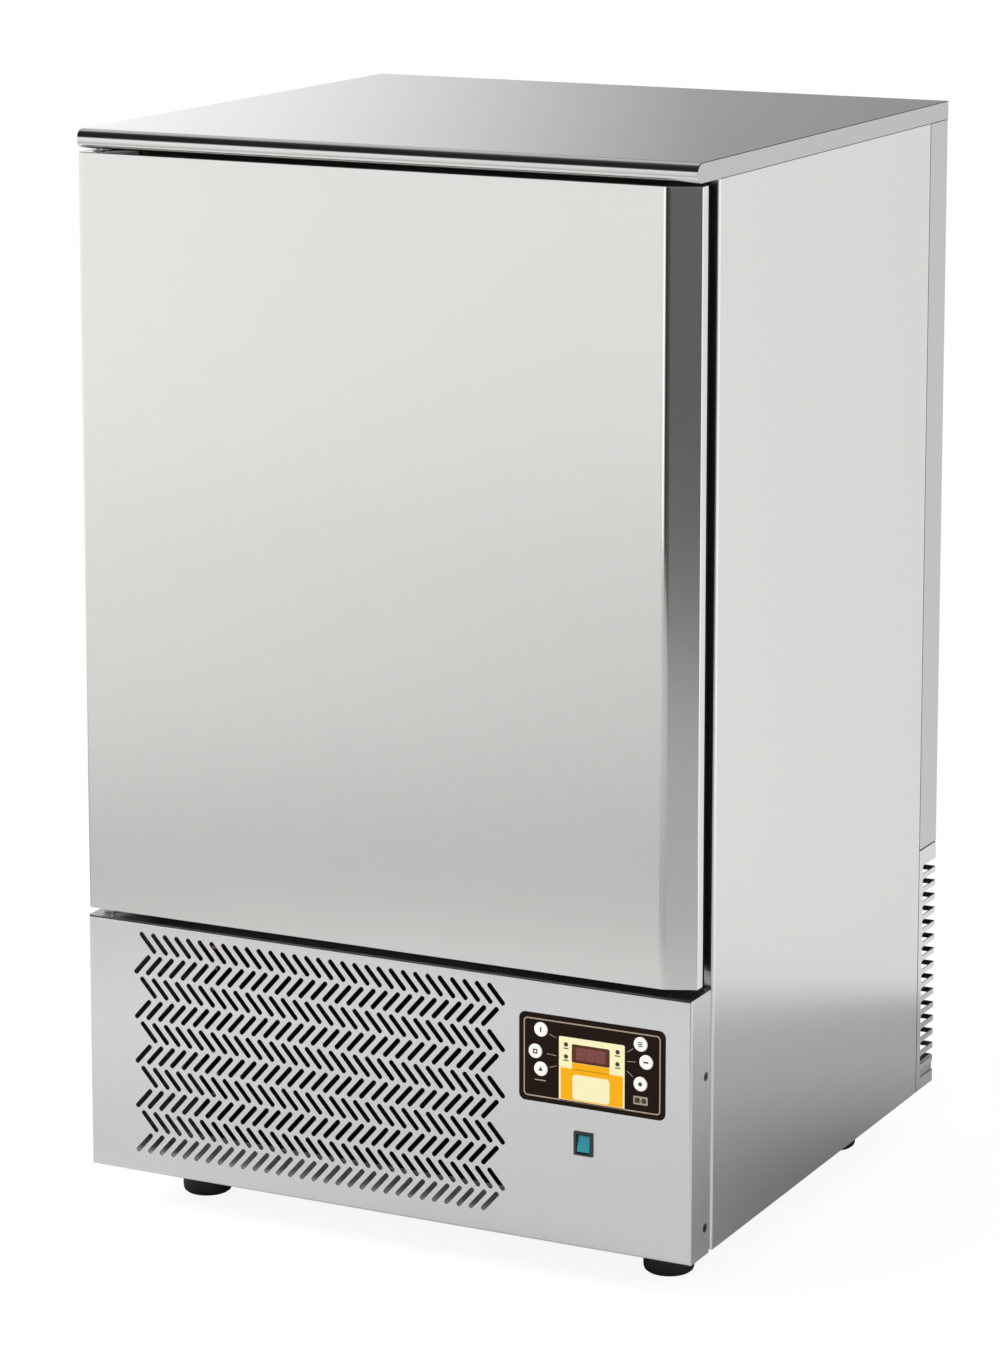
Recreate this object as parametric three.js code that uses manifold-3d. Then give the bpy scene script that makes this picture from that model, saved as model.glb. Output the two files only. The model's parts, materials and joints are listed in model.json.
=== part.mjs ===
// Blast chiller with a full-height bevelled door grip and a herringbone front grille.
// Millimetres, +Z up, front towards -Y, right-hand side towards +X.
// The origin is on the floor, under the centre of the whole machine.

import * as THREE from 'three';
import { mergeGeometries, mergeVertices } from 'three/addons/utils/BufferGeometryUtils.js';
import Module from 'manifold-3d';

const wasm = await Module();
wasm.setup();

// ---------------------------------------------------------------- driving dimensions

const width = 790;
const cabinetDepth = 755; // from the front plane of door and worktop to the back sheet
const bodyHeight = 1253; // from the underside of the front panel to the worktop
const footHeight = 60;
const switchProud = 2; // how far the rocker switch stands in front of the front plane

const sheet = 1.5; // outer and inner sheet metal
const fit = 0.3; // gap between pieces that touch
const seam = 2; // open joint between two rear covers

const worktopThickness = 23;
const doorTopGap = 3.5;
const doorBottomGap = 9;
const doorThickness = 52;
const gasketDepth = 7; // back of the door to the face of the cabinet
const lowerPanelHeight = 310.5;
const lowerPanelReturn = 51;
const sideCorner = 10; // radius of the side sheets' front fold
const sideFlange = 11.5; // that fold and the flat beyond it, seen from the front
const doorFold = 6; // radius of the door's free front fold
const gripFold = 22; // radius where the door's face turns into the grip bevel
const lipFold = 2; // radius of the grip lip's front fold
const foldSteps = 3;
const rearReturn = 60; // depth of the rear covers' side returns

const wall = 58; // insulation on the sides
const floorWall = 56;
const roofWall = 60;
const rearWall = 60;
const chamberRadius = 12;
const linerSheet = 1.2;

const gripBevelWidth = 37;
const gripBevelDepth = 15;
const gripLip = 14.5;
const gripPocket = 43;
const pivotFromSide = 18;
const pivotFromFront = 22;
const pinRadius = 5;
const pinClearance = 0.3;
const bushWall = 3;
const bushLength = 18;
const bushFlangeRadius = 11;
const topBracket = 2.5;
const bottomBracket = 4;
const bracketReach = 45; // how far a hinge plate runs back over the cabinet
const bracketWidth = 40;
const bracketNose = 8;
const plugInset = 9;
const plugDepth = 14;
const gasketWidth = 12;

const footRadius = 30;
const footInset = 85;
const footSetBack = 130;
const stemRadius = 6;
const stemLength = 20;
const bossRadius = 12;
const panFloor = 2;
const panEdge = 35;

const slotLength = 31.5;
const slotWidth = 6;
const slotTilt = 48.6; // degrees from the horizontal
const slotPitch = 15.95;
const slotRowPitch = 27.6;
const grilleLeft = 82.3; // first slot centre from the left side
const grilleTop = 24.5; // first row of slot centres below the panel's top
const grilleToFascia = 20; // least distance from the last slot centre to the fascia
const grilleToEdge = 27; // least distance from the last row to the panel's lower edge

const fasciaWidth = 183.4;
const fasciaHeight = 104.5;
const fasciaRadius = 8;
const fasciaFromRight = 32;
const fasciaFromTop = 39.5;
const fasciaThickness = 3;
const fasciaProud = 0.6;
const buttonRadius = 8.6;
const buttonProud = 1.6;
const buttonTravel = 1;
const windowWidth = 47;
const windowHeight = 21;
const windowBelowTop = 41; // window centre below the fascia's top edge
const windowLeftOfCentre = 1.2;
const rockerWidth = 24;
const rockerHeight = 28;
const rockerFromRight = 133.8;
const rockerFromTop = 186.2;
const rockerTilt = 9;

const ventPitch = 17.8;
const ventHeight = 11.5;
const ventTop = 26.7; // first vent centre below the cover's top edge
const ventToEdge = 15; // least distance from the last vent centre to the lower edge
const ventSideReach = 46;
const ventBackReach = 52;
const ventLength = 296;

const evaporatorDepth = 150;
const evaporatorWidth = 600;
const evaporatorFanRadius = 118;
const trayPitch = 70;
const lowestRunner = 50; // above the chamber's floor
const runnerWidth = 25;
const runnerRod = 4; // radius of the rods that trays slide on
const rackPost = 16;
const rackDepth = 410;
const rackSetBack = 26;

const condenserWidth = 480;
const condenserHeadroom = 24.8; // coil to deck
const condenserDepth = 66;
const condenserFromLeft = 112;
const condenserSetBack = 9.2; // behind the base pan's front edge
const condenserFanEdge = 12; // blade tips to the shroud's top and bottom edges
const shroudDepth = 50;
const compressorRadius = 92;
const compressorHeadroom = 75.1; // can to deck
const receiverRadius = 42;
const neckLength = 12; // the receiver's outlet
const drierLength = 100.5; // from that outlet to the deck

// ---------------------------------------------------------------- levels and planes

const sideX = width / 2;
const frontY = switchProud - (cabinetDepth + switchProud) / 2;
const backY = frontY + cabinetDepth;
const cabinetY = frontY + doorThickness + gasketDepth;
const sideEndY = backY - rearReturn;
const bodyZ = footHeight;
const topZ = bodyZ + bodyHeight;
const worktopZ = topZ - worktopThickness;
const lowerPanelZ = bodyZ + lowerPanelHeight;
const doorZ = lowerPanelZ + doorBottomGap;
const doorTopZ = worktopZ - doorTopGap;
const deckZ = lowerPanelZ + bottomBracket + 2 * fit;
const foamZ = deckZ + sheet + fit;
const carcassTopZ = worktopZ - fit;
const innerX = sideX - sheet - fit; // inside face of what fits between the side sheets
const innerBackY = backY - sheet - fit;
const pivotX = -sideX + pivotFromSide;
const pivotY = frontY + pivotFromFront;
const doorBackY = frontY + doorThickness;
const boreRadius = pinRadius + pinClearance;
const bushRadius = boreRadius + bushWall;
const fasciaX = sideX - fasciaFromRight - fasciaWidth / 2;
const fasciaZ = lowerPanelZ - fasciaFromTop - fasciaHeight / 2;
const rockerX = sideX - rockerFromRight;
const rockerZ = lowerPanelZ - rockerFromTop;

// The chamber is the space inside the liner.
const chamber = {
  x: sideX - wall - sheet - fit,
  front: cabinetY + sheet + fit,
  back: innerBackY - rearWall,
  bottom: foamZ + floorWall,
  top: carcassTopZ - roofWall,
};
const panTopZ = bodyZ + panFloor;
const machineHeight = deckZ - panTopZ; // the height of the space under the deck
const condenserHeight = machineHeight - condenserHeadroom - fit;
const condenserFanRadius = condenserHeight / 2 - condenserFanEdge;
const compressorHeight = machineHeight - compressorHeadroom;
const receiverHeight = machineHeight - drierLength - neckLength - 2 * fit;
const trayRunners = Math.floor((chamber.top - chamber.bottom - lowestRunner) / trayPitch);
const baffleY = chamber.back - evaporatorDepth;

// ---------------------------------------------------------------- materials

const finish = (color, roughness, metalness) =>
  new THREE.MeshStandardMaterial({ color, roughness, metalness });

const steel = finish(0xd8d5d0, 0.35, 0.9);
const linerSteel = finish(0xc9cacb, 0.3, 0.9);
const galvanised = finish(0xa9adb0, 0.5, 0.8);
const foam = finish(0xd9c48a, 0.95, 0);
const blackPlastic = finish(0x17171a, 0.5, 0);
const blackRubber = finish(0x101012, 0.8, 0);
const fasciaBrown = finish(0x1c1413, 0.35, 0);
const windowRed = finish(0x5a1518, 0.2, 0);
const buttonWhite = finish(0xe9e6df, 0.45, 0);
const rockerTeal = finish(0x2f94a4, 0.4, 0);
const finAluminium = finish(0xb4b8bb, 0.4, 0.8);
const blackPaint = finish(0x202124, 0.45, 0.3);
const copper = finish(0xb5683c, 0.35, 0.9);
const nylon = finish(0xe3e0d6, 0.5, 0);
const greyBox = finish(0x8f9396, 0.6, 0.1);
const brightSteel = finish(0xbfc1c4, 0.3, 0.95);

// ---------------------------------------------------------------- shape helpers

/** A closed solid with shared corners and outward faces. */
function toSolid(geometry) {
  const bare = geometry.clone();
  bare.deleteAttribute('normal');
  bare.deleteAttribute('uv');
  const welded = mergeVertices(bare, 1e-3);
  const index = welded.index.array;
  const faces = [];
  for (let i = 0; i < index.length; i += 3) {
    const [a, b, c] = [index[i], index[i + 1], index[i + 2]];
    if (a !== b && b !== c && c !== a) faces.push([a, b, c]);
  }
  const build = (triangles) => new wasm.Manifold(new wasm.Mesh({
    numProp: 3,
    vertProperties: new Float32Array(welded.attributes.position.array),
    triVerts: new Uint32Array(triangles.flat()),
  }));
  const solid = build(faces);
  return solid.volume() > 0 ? solid : build(faces.map(([a, b, c]) => [a, c, b]));
}

/** The geometry of a solid, with one flat normal for each face. */
function fromSolid(solid) {
  const { numProp, vertProperties, triVerts } = solid.getMesh();
  const points = [];
  for (const corner of triVerts) {
    points.push(...vertProperties.subarray(corner * numProp, corner * numProp + 3));
  }
  const geometry = new THREE.BufferGeometry();
  geometry.setAttribute('position', new THREE.Float32BufferAttribute(points, 3));
  geometry.computeVertexNormals();
  return geometry;
}

const join = (...pieces) => fromSolid(pieces.map(toSolid).reduce((whole, next) => whole.add(next)));

const cut = (body, ...tools) =>
  fromSolid(tools.map(toSolid).reduce((whole, tool) => whole.subtract(tool), toSolid(body)));

const block = (x0, x1, y0, y1, z0, z1) =>
  new THREE.BoxGeometry(x1 - x0, y1 - y0, z1 - z0)
    .translate((x0 + x1) / 2, (y0 + y1) / 2, (z0 + z1) / 2);

/** What fits between the side sheets in plan, with its front corners off to clear their folds. */
function carcassPlan(frontFace, inset = 0) {
  const [x, y0, y1] = [innerX - inset, frontFace + inset, innerBackY - inset];
  return outline([
    [-x, y1], [-x, y0 + sideCorner], [-x + sideCorner, y0],
    [x - sideCorner, y0], [x, y0 + sideCorner], [x, y1],
  ]);
}

const outline = (points) => new THREE.Shape(points.map(([u, v]) => new THREE.Vector2(u, v)));

/** A circle in four quarter arcs, each of as many steps as a rounded corner has. */
function circle(u, v, radius) {
  const shape = new THREE.Shape();
  for (let quarter = 0; quarter < 4; quarter += 1) {
    shape.absarc(u, v, radius, (quarter * Math.PI) / 2, ((quarter + 1) * Math.PI) / 2, false);
  }
  return shape;
}

function roundedRectangle(u0, u1, v0, v1, radius) {
  const shape = new THREE.Shape();
  shape.absarc(u1 - radius, v1 - radius, radius, 0, Math.PI / 2, false);
  shape.absarc(u0 + radius, v1 - radius, radius, Math.PI / 2, Math.PI, false);
  shape.absarc(u0 + radius, v0 + radius, radius, Math.PI, 1.5 * Math.PI, false);
  shape.absarc(u1 - radius, v0 + radius, radius, 1.5 * Math.PI, 2 * Math.PI, false);
  shape.closePath();
  return shape;
}

/** Open points moved to the left of the way they run, with mitred corners. */
function offsetLine(points, distance) {
  const ways = points.slice(1).map(([x, y], i) =>
    new THREE.Vector2(x - points[i][0], y - points[i][1]).normalize());
  return points.map(([x, y], i) => {
    const before = ways[Math.max(i - 1, 0)];
    const after = ways[Math.min(i, ways.length - 1)];
    const mitre = distance / (1 + before.dot(after));
    return [x - (before.y + after.y) * mitre, y + (before.x + after.x) * mitre];
  });
}

/** Open points of [x, y, radius], where a corner that has a radius becomes an arc. */
function softened(points) {
  return points.flatMap(([x, y, radius], i) => {
    if (!radius) return [[x, y]];
    const corner = new THREE.Vector2(x, y);
    const [before, after] = [points[i - 1], points[i + 1]].map(([u, v]) =>
      new THREE.Vector2(u, v).sub(corner).normalize());
    const half = before.angleTo(after) / 2;
    const centre = before.clone().add(after).setLength(radius / Math.sin(half)).add(corner);
    const start = before.clone().multiplyScalar(radius / Math.tan(half)).add(corner);
    const sweep = Math.sign(after.cross(before)) * (Math.PI - 2 * half);
    return Array.from({ length: foldSteps + 1 }, (_, step) =>
      start.clone().rotateAround(centre, (sweep * step) / foldSteps).toArray());
  });
}

/** A sheet folded along open points, its thickness to the left of the way they run. */
const folded = (points, thickness) => outline([...points, ...offsetLine(points, thickness).reverse()]);

/** Every quarter of an arc gets twice the stated number of segments. */
const extrusion = (shape, length, curveSegments) =>
  new THREE.ExtrudeGeometry(shape, { depth: length, bevelEnabled: false, curveSegments });

/** Extrudes a shape drawn in (x, y). */
const alongZ = (shape, z0, z1, segments = 2) =>
  extrusion(shape, z1 - z0, segments).translate(0, 0, z0);

/** Extrudes a shape drawn in (x, z). */
function alongY(shape, y0, y1, segments = 2) {
  const turn = new THREE.Matrix4().makeBasis(
    new THREE.Vector3(1, 0, 0), new THREE.Vector3(0, 0, 1), new THREE.Vector3(0, -1, 0));
  return extrusion(shape, y1 - y0, segments).applyMatrix4(turn).translate(0, y1, 0);
}

/** Extrudes a shape drawn in (y, z). */
function alongX(shape, x0, x1, segments = 2) {
  const turn = new THREE.Matrix4().makeBasis(
    new THREE.Vector3(0, 1, 0), new THREE.Vector3(0, 0, 1), new THREE.Vector3(1, 0, 0));
  return extrusion(shape, x1 - x0, segments).applyMatrix4(turn).translate(x0, 0, 0);
}

/** A profile of [radius, height] turned about the Z axis. */
const turned = (profile, segments = 16) =>
  new THREE.LatheGeometry(profile.map(([r, h]) => new THREE.Vector2(r, h)), segments)
    .rotateX(Math.PI / 2);

const cylinder = (radius, z0, z1, segments = 16) =>
  turned([[0, z0], [radius, z0], [radius, z1], [0, z1]], segments);

/** A pipe of round section on a smooth curve, straight over a short stretch at each end. */
function pipe(points, radius, steps) {
  const route = points.map((p) => new THREE.Vector3(...p));
  const straight = (end, next) => end.clone().lerp(next, 0.5);
  route.splice(1, 0, straight(route[0], route[1]));
  route.splice(-1, 0, straight(route.at(-1), route.at(-2)));
  const path = new THREE.CatmullRomCurve3(route);
  return new THREE.ExtrudeGeometry(circle(0, 0, radius), { steps, extrudePath: path, curveSegments: 1 });
}

const mirrored = (points) => points.map(([x, y]) => [-x, y]).reverse();

const chiller = new THREE.Group();

function add(name, geometry, material, x = 0, y = 0, z = 0) {
  const mesh = new THREE.Mesh(geometry, material);
  mesh.name = name;
  mesh.position.set(x, y, z);
  chiller.add(mesh);
  return mesh;
}

// ---------------------------------------------------------------- base and feet

const footPlaces = [
  ['foot_front_left', -sideX + footInset, frontY + footSetBack],
  ['foot_front_right', sideX - footInset, frontY + footSetBack],
  ['foot_rear_left', -sideX + footInset, backY - footSetBack],
  ['foot_rear_right', sideX - footInset, backY - footSetBack],
];

/** A folded floor tray with a weld nut over each foot. */
function basePan() {
  const tray = cut(alongZ(carcassPlan(chamber.front), bodyZ, bodyZ + panEdge),
    alongZ(carcassPlan(chamber.front, sheet), panTopZ, topZ));
  const bosses = footPlaces.map(([, x, y]) =>
    cylinder(bossRadius, bodyZ + fit, panTopZ + stemLength, 12).translate(x, y, 0));
  const stems = footPlaces.map(([, x, y]) =>
    cylinder(stemRadius + fit, bodyZ - 1, topZ, 12).translate(x, y, 0));
  return cut(join(tray, ...bosses), ...stems);
}

/** A levelling foot: a moulded pad with a rounded rim on a threaded stem. */
function foot() {
  const rim = 7;
  const padTop = 34;
  const profile = [
    [0, 0], [footRadius - rim, 0], [footRadius - rim * 0.29, rim * 0.29], [footRadius, rim],
    [footRadius, padTop], [bossRadius, padTop + 5], [bossRadius, footHeight - fit],
    [stemRadius, footHeight - fit], [stemRadius, footHeight + stemLength], [0, footHeight + stemLength],
  ];
  return turned(profile);
}

/** Upright that takes the screws of the front panel and backs the side seam. */
function framePost(side) {
  const points = [
    [innerX, frontY + 22], [innerX, cabinetY - fit], [innerX - 18, cabinetY - fit],
  ];
  const shape = folded(side > 0 ? points : mirrored(points), sheet);
  return alongZ(shape, bodyZ + sheet + fit, lowerPanelZ - sheet - fit);
}

add('base_pan', basePan(), galvanised);
for (const [name, x, y] of footPlaces) add(name, foot(), blackRubber, x, y, 0);
add('frame_post_left', framePost(-1), galvanised);
add('frame_post_right', framePost(1), galvanised);

// ---------------------------------------------------------------- outer sheets

/** A side sheet with a rounded front fold that turns in over the cabinet's face. */
function sidePanel(side) {
  const steps = 4;
  const fold = Array.from({ length: steps + 1 }, (_, i) => {
    const angle = (i / steps) * (Math.PI / 2);
    return [sideX - sideCorner * (1 - Math.sin(angle)), cabinetY + sideCorner * (1 - Math.cos(angle))];
  });
  const points = [[sideX - sideFlange, cabinetY], ...fold, [sideX, sideEndY]];
  return alongZ(folded(side > 0 ? points : mirrored(points), sheet), bodyZ, carcassTopZ);
}

/** The outline that both rear covers share: a back with two side returns. */
function rearOutline() {
  return folded([
    [sideX, sideEndY + seam], [sideX, backY], [-sideX, backY], [-sideX, sideEndY + seam],
  ], sheet);
}

/** The rear cover of the machine space, with vents that run round its corners. */
function rearLowerCover() {
  const top = deckZ - seam / 2;
  const vents = [];
  for (let middle = top - ventTop; middle > bodyZ + ventToEdge; middle -= ventPitch) {
    const [low, high] = [middle - ventHeight / 2, middle + ventHeight / 2];
    for (const side of [-1, 1]) {
      const corner = [side * (sideX - ventBackReach), side * (sideX + 1)].sort((a, b) => a - b);
      const centre = side * (ventLength / 2 + 14);
      vents.push(block(...corner, backY - ventSideReach, backY + 1, low, high));
      vents.push(block(centre - ventLength / 2, centre + ventLength / 2, backY - 10, backY + 1, low, high));
    }
  }
  const cableHole = cylinder(grommetRadius + fit, -10, 10, 16).rotateX(Math.PI / 2)
    .translate(grommetX, backY, grommetZ);
  return cut(alongZ(rearOutline(), bodyZ, top), mergeGeometries(vents), cableHole);
}

/** A worktop whose front edge is a half round. */
function worktop() {
  const radius = worktopThickness / 2;
  const profile = new THREE.Shape();
  profile.moveTo(backY, worktopZ);
  profile.lineTo(backY, topZ);
  profile.absarc(frontY + radius, topZ - radius, radius, Math.PI / 2, 1.5 * Math.PI, false);
  return alongX(profile, -sideX, sideX, 4);
}

const grommetRadius = 7;
const grommetX = -sideX + 90;
const grommetZ = deckZ - seam / 2 - 10;

/** A rubber bush for the mains cable, flush with the rear cover. */
function cableGrommet() {
  const [hole, collar] = [3.5, 4];
  return turned([
    [hole, 0], [grommetRadius, 0], [grommetRadius, sheet + fit], [grommetRadius + collar - 2, sheet + fit],
    [grommetRadius + collar - 2, sheet + 5], [hole, sheet + 5], [hole, 0],
  ], 12).rotateX(Math.PI / 2);
}

add('side_panel_left', sidePanel(-1), steel);
add('side_panel_right', sidePanel(1), steel);
add('back_panel', alongZ(rearOutline(), deckZ + seam / 2, carcassTopZ), steel);
add('rear_lower_cover', rearLowerCover(), steel);
add('cable_grommet', cableGrommet(), blackRubber, grommetX, backY, grommetZ);
add('worktop', worktop(), steel);

// ---------------------------------------------------------------- insulated chamber

const throughFoam = linerSheet + fit; // what the liner takes up on each side of the chamber

/** The foamed carcass: one block, hollow from the front, notched for the upper hinge plate. */
function insulationBody() {
  const gap = throughFoam;
  const hollow = roundedRectangle(-chamber.x - gap, chamber.x + gap,
    chamber.bottom - gap, chamber.top + gap, chamberRadius + gap);
  return cut(
    alongZ(carcassPlan(chamber.front), foamZ, carcassTopZ),
    alongY(hollow, chamber.front - 1, chamber.back + gap),
    bracketPlate(carcassTopZ - topBracket - fit, topZ, fit));
}

/** The deep-drawn inner tank, with rounded corners that wipe clean. */
function chamberLiner() {
  const tank = (grow, front, back) => alongY(roundedRectangle(-chamber.x - grow, chamber.x + grow,
    chamber.bottom - grow, chamber.top + grow, chamberRadius + grow), front, back);
  return cut(tank(linerSheet, chamber.front, chamber.back + linerSheet),
    tank(0, chamber.front - 1, chamber.back));
}

/** The flat plastic frame round the chamber's mouth that the door gasket meets. */
function frontTrim() {
  const edge = sideX - sideFlange - fit;
  const face = outline([
    [-edge, deckZ], [edge, deckZ], [edge, carcassTopZ - topBracket - 2 * fit],
    [-edge, carcassTopZ - topBracket - 2 * fit],
  ]);
  face.holes.push(roundedRectangle(-chamber.x, chamber.x, chamber.bottom, chamber.top, chamberRadius));
  return alongY(face, cabinetY, cabinetY + sheet);
}

add('deck_plate', alongZ(carcassPlan(chamber.front), deckZ, deckZ + sheet), galvanised);
add('insulation_body', insulationBody(), foam);
add('chamber_liner', chamberLiner(), linerSteel);
add('front_trim', frontTrim(), blackPlastic);

// ---------------------------------------------------------------- front panel and controls

/** One grille slot in (x, z), at its full length and width. */
function grilleSlot(x, z, tilt) {
  const [half, side] = [slotLength / 2, slotWidth / 2];
  const corners = [[half, -side], [half, side], [-half, side], [-half, -side]];
  const [c, s] = [Math.cos(tilt), Math.sin(tilt)];
  return outline(corners.map(([u, v]) => [x + u * c - v * s, z + u * s + v * c]));
}

/** All the herringbone slots as one cutting tool, as many as the panel has room for. */
function grilleCuts() {
  const slots = [];
  const [firstX, lastX] = [-sideX + grilleLeft, fasciaX - fasciaWidth / 2 - grilleToFascia];
  const [firstZ, lastZ] = [lowerPanelZ - grilleTop, bodyZ + grilleToEdge];
  for (let row = 0; firstZ - row * slotRowPitch > lastZ; row += 1) {
    const fallsRight = row % 2 === 0;
    const tilt = THREE.MathUtils.degToRad(fallsRight ? -slotTilt : slotTilt);
    const shift = fallsRight ? 0 : -slotPitch / 2;
    for (let x = firstX; x < lastX; x += slotPitch) {
      const slot = grilleSlot(x + shift, firstZ - row * slotRowPitch, tilt);
      slots.push(alongY(slot, frontY - 1, frontY + sheet + 1));
    }
  }
  return mergeGeometries(slots);
}

const fasciaOutline = (grow) => roundedRectangle(
  fasciaX - fasciaWidth / 2 - grow, fasciaX + fasciaWidth / 2 + grow,
  fasciaZ - fasciaHeight / 2 - grow, fasciaZ + fasciaHeight / 2 + grow, fasciaRadius + grow);

/** The grille panel: a shallow tray, open at the back, whose returns reach the cabinet. */
function lowerFrontPanel() {
  const tray = cut(
    block(-sideX, sideX, frontY, frontY + lowerPanelReturn, bodyZ, lowerPanelZ),
    block(-sideX + sheet, sideX - sheet, frontY + sheet, backY, bodyZ + sheet, lowerPanelZ - sheet));
  const switchHole = block(rockerX - rockerWidth / 2 + 1, rockerX + rockerWidth / 2 - 1,
    frontY - 5, frontY + 5, rockerZ - rockerHeight / 2 + 1, rockerZ + rockerHeight / 2 - 1);
  const fasciaHole = alongY(fasciaOutline(fit), frontY - 5, frontY + 5);
  return cut(tray, grilleCuts(), fasciaHole, switchHole);
}

// Button centres from the fascia's centre; the middle pair stands further out.
const buttonPlaces = [
  ['button_left_top', -64, 33.6], ['button_left_middle', -71, 7.2], ['button_left_bottom', -64, -13],
  ['button_right_top', 61, 33.6], ['button_right_middle', 68, 13.4], ['button_right_bottom', 61, -13],
];
const windowX = fasciaX - windowLeftOfCentre;
const windowZ = fasciaZ + fasciaHeight / 2 - windowBelowTop;

const windowOutline = (grow) => roundedRectangle(
  windowX - windowWidth / 2 - grow, windowX + windowWidth / 2 + grow,
  windowZ - windowHeight / 2 - grow, windowZ + windowHeight / 2 + grow, 1.5 + grow);

function controlFascia() {
  const holes = buttonPlaces.map(([, x, z]) => circle(fasciaX + x, fasciaZ + z, buttonRadius + fit));
  const face = fasciaOutline(0);
  face.holes.push(windowOutline(fit), ...holes);
  return alongY(face, frontY - fasciaProud, frontY - fasciaProud + fasciaThickness);
}

/** A push button: a cap through the fascia with a collar behind it. Its face is at height 0. */
function button() {
  const capDepth = buttonProud - fasciaProud + fasciaThickness + fit;
  return turned([
    [0, 0], [buttonRadius, 0], [buttonRadius, capDepth],
    [buttonRadius + 1.2, capDepth], [buttonRadius + 1.2, capDepth + 2], [0, capDepth + 2],
  ], 14).rotateX(-Math.PI / 2);
}

const fasciaBackY = frontY - fasciaProud + fasciaThickness;
const buttonBackY = fasciaBackY + fit + 2;

/** The electronics box clipped to the back of the fascia. */
function controllerHousing() {
  const ear = 10;
  const [x0, x1] = [fasciaX - fasciaWidth / 2 + 2, fasciaX + fasciaWidth / 2 - 2];
  const [z0, z1] = [fasciaZ - fasciaHeight / 2 - ear, fasciaZ + fasciaHeight / 2 + ear];
  const body = block(x0, x1, fasciaBackY + fit, frontY + 46, z0, z1);
  const clearing = block(x0 + 3, x1 - 3, frontY, buttonBackY + buttonTravel + fit,
    z0 + ear, z1 - ear);
  return cut(body, clearing);
}

const rockerPivotY = frontY + 3;
const rockerFaceX = rockerWidth / 2 - 4;
const rockerHalf = rockerHeight / 2 - 3.5;

/** The rocker's frame and body, snapped into the front panel. */
function switchHousing() {
  const [w, h] = [rockerWidth / 2, rockerHeight / 2];
  const flange = block(-w, w, -switchProud, -fit, -h, h);
  const body = block(-w + 1 + fit, w - 1 - fit, -1, 24, -h + 1 + fit, h - 1 - fit);
  const well = block(-rockerFaceX - fit, rockerFaceX + fit, -10, 12, -rockerHalf - 1, rockerHalf + 1);
  return cut(join(flange, body), well);
}

/** The rocker: a shallow V seen from the side, pivoted about the X axis through its middle. */
function rocker() {
  const rise = rockerHalf * Math.tan(THREE.MathUtils.degToRad(rockerTilt));
  const valley = -switchProud + 0.4 - (rockerPivotY - frontY) + rise;
  const profile = outline([
    [valley, 0], [valley + rise, rockerHalf - 0.6], [3.5, rockerHalf - 2.4], [5, 0],
    [3.5, -rockerHalf + 0.6], [valley - rise, -rockerHalf + 0.6],
  ]);
  return alongX(profile, -rockerFaceX, rockerFaceX);
}

add('lower_front_panel', lowerFrontPanel(), steel);
add('control_fascia', controlFascia(), fasciaBrown);
add('display_window', alongY(windowOutline(0), frontY - fasciaProud + 0.2, frontY + 2, 2), windowRed);
add('controller_housing', controllerHousing(), greyBox);
for (const [name, x, z] of buttonPlaces) {
  add(name, button(), buttonWhite, fasciaX + x, frontY - buttonProud, fasciaZ + z);
}
add('switch_housing', switchHousing(), blackPlastic, rockerX, frontY, rockerZ);
add('switch_rocker', rocker(), rockerTeal, rockerX, rockerPivotY, rockerZ);

// ---------------------------------------------------------------- hinges

/** A hinge plate in plan: a round nose at the pivot on a wider tail over the cabinet. */
function bracketPlate(z0, z1, grow = 0) {
  const nose = bracketNose + grow;
  const [tailY, endY] = [cabinetY - 6 - grow, cabinetY + bracketReach + grow];
  const tailX = -sideX + sideFlange + 3 * fit - grow;
  const shape = new THREE.Shape();
  shape.moveTo(pivotX - nose, tailY);
  shape.absarc(pivotX, pivotY, nose, Math.PI, 2 * Math.PI, false);
  shape.lineTo(tailX + bracketWidth + 2 * grow, tailY);
  shape.lineTo(tailX + bracketWidth + 2 * grow, endY);
  shape.lineTo(tailX, endY);
  shape.lineTo(tailX, tailY);
  return alongZ(shape, z0, z1, 3);
}

function hingeBracketTop() {
  const top = carcassTopZ;
  const pin = cylinder(pinRadius, doorTopZ - bushLength, top - 1, 16).translate(pivotX, pivotY, 0);
  return join(bracketPlate(top - topBracket, top), pin);
}

function hingeBracketBottom() {
  const low = lowerPanelZ + fit;
  const pin = cylinder(pinRadius, low + 1, doorZ + bushLength, 16).translate(pivotX, pivotY, 0);
  return join(bracketPlate(low, low + bottomBracket), pin);
}

/** A nylon bush pressed into the door; the lower one has the flange that carries the door. */
function hingeBush(flange) {
  const plain = [[boreRadius, 0], [bushRadius, 0]];
  const flanged = [
    [boreRadius, -flange], [bushFlangeRadius, -flange], [bushFlangeRadius, -fit], [bushRadius, -fit],
  ];
  const foot = flange > 0 ? flanged : plain;
  return turned([...foot, [bushRadius, bushLength], [boreRadius, bushLength], foot[0]], 12);
}

add('hinge_bracket_top', hingeBracketTop(), brightSteel);
add('hinge_bracket_bottom', hingeBracketBottom(), brightSteel);

// ---------------------------------------------------------------- door

const bushFlange = doorZ - (lowerPanelZ + fit + bottomBracket) - fit;
const gripX = sideX - gripPocket;
const lipY = frontY + gripBevelDepth;
const doorOutline = softened([
  [-sideX, doorBackY], [-sideX, frontY, doorFold], [sideX - gripBevelWidth, frontY, gripFold],
  [sideX, lipY, lipFold], [sideX, lipY + gripLip], [gripX, lipY + gripLip], [gripX, doorBackY],
]);

/** The space inside the door's outline at a distance from its sheet, back to a given plane. */
function doorInside(distance, planeY) {
  const line = offsetLine(doorOutline, distance);
  line[0][1] = planeY;
  line.at(-1)[1] = planeY;
  return outline(line);
}

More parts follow.
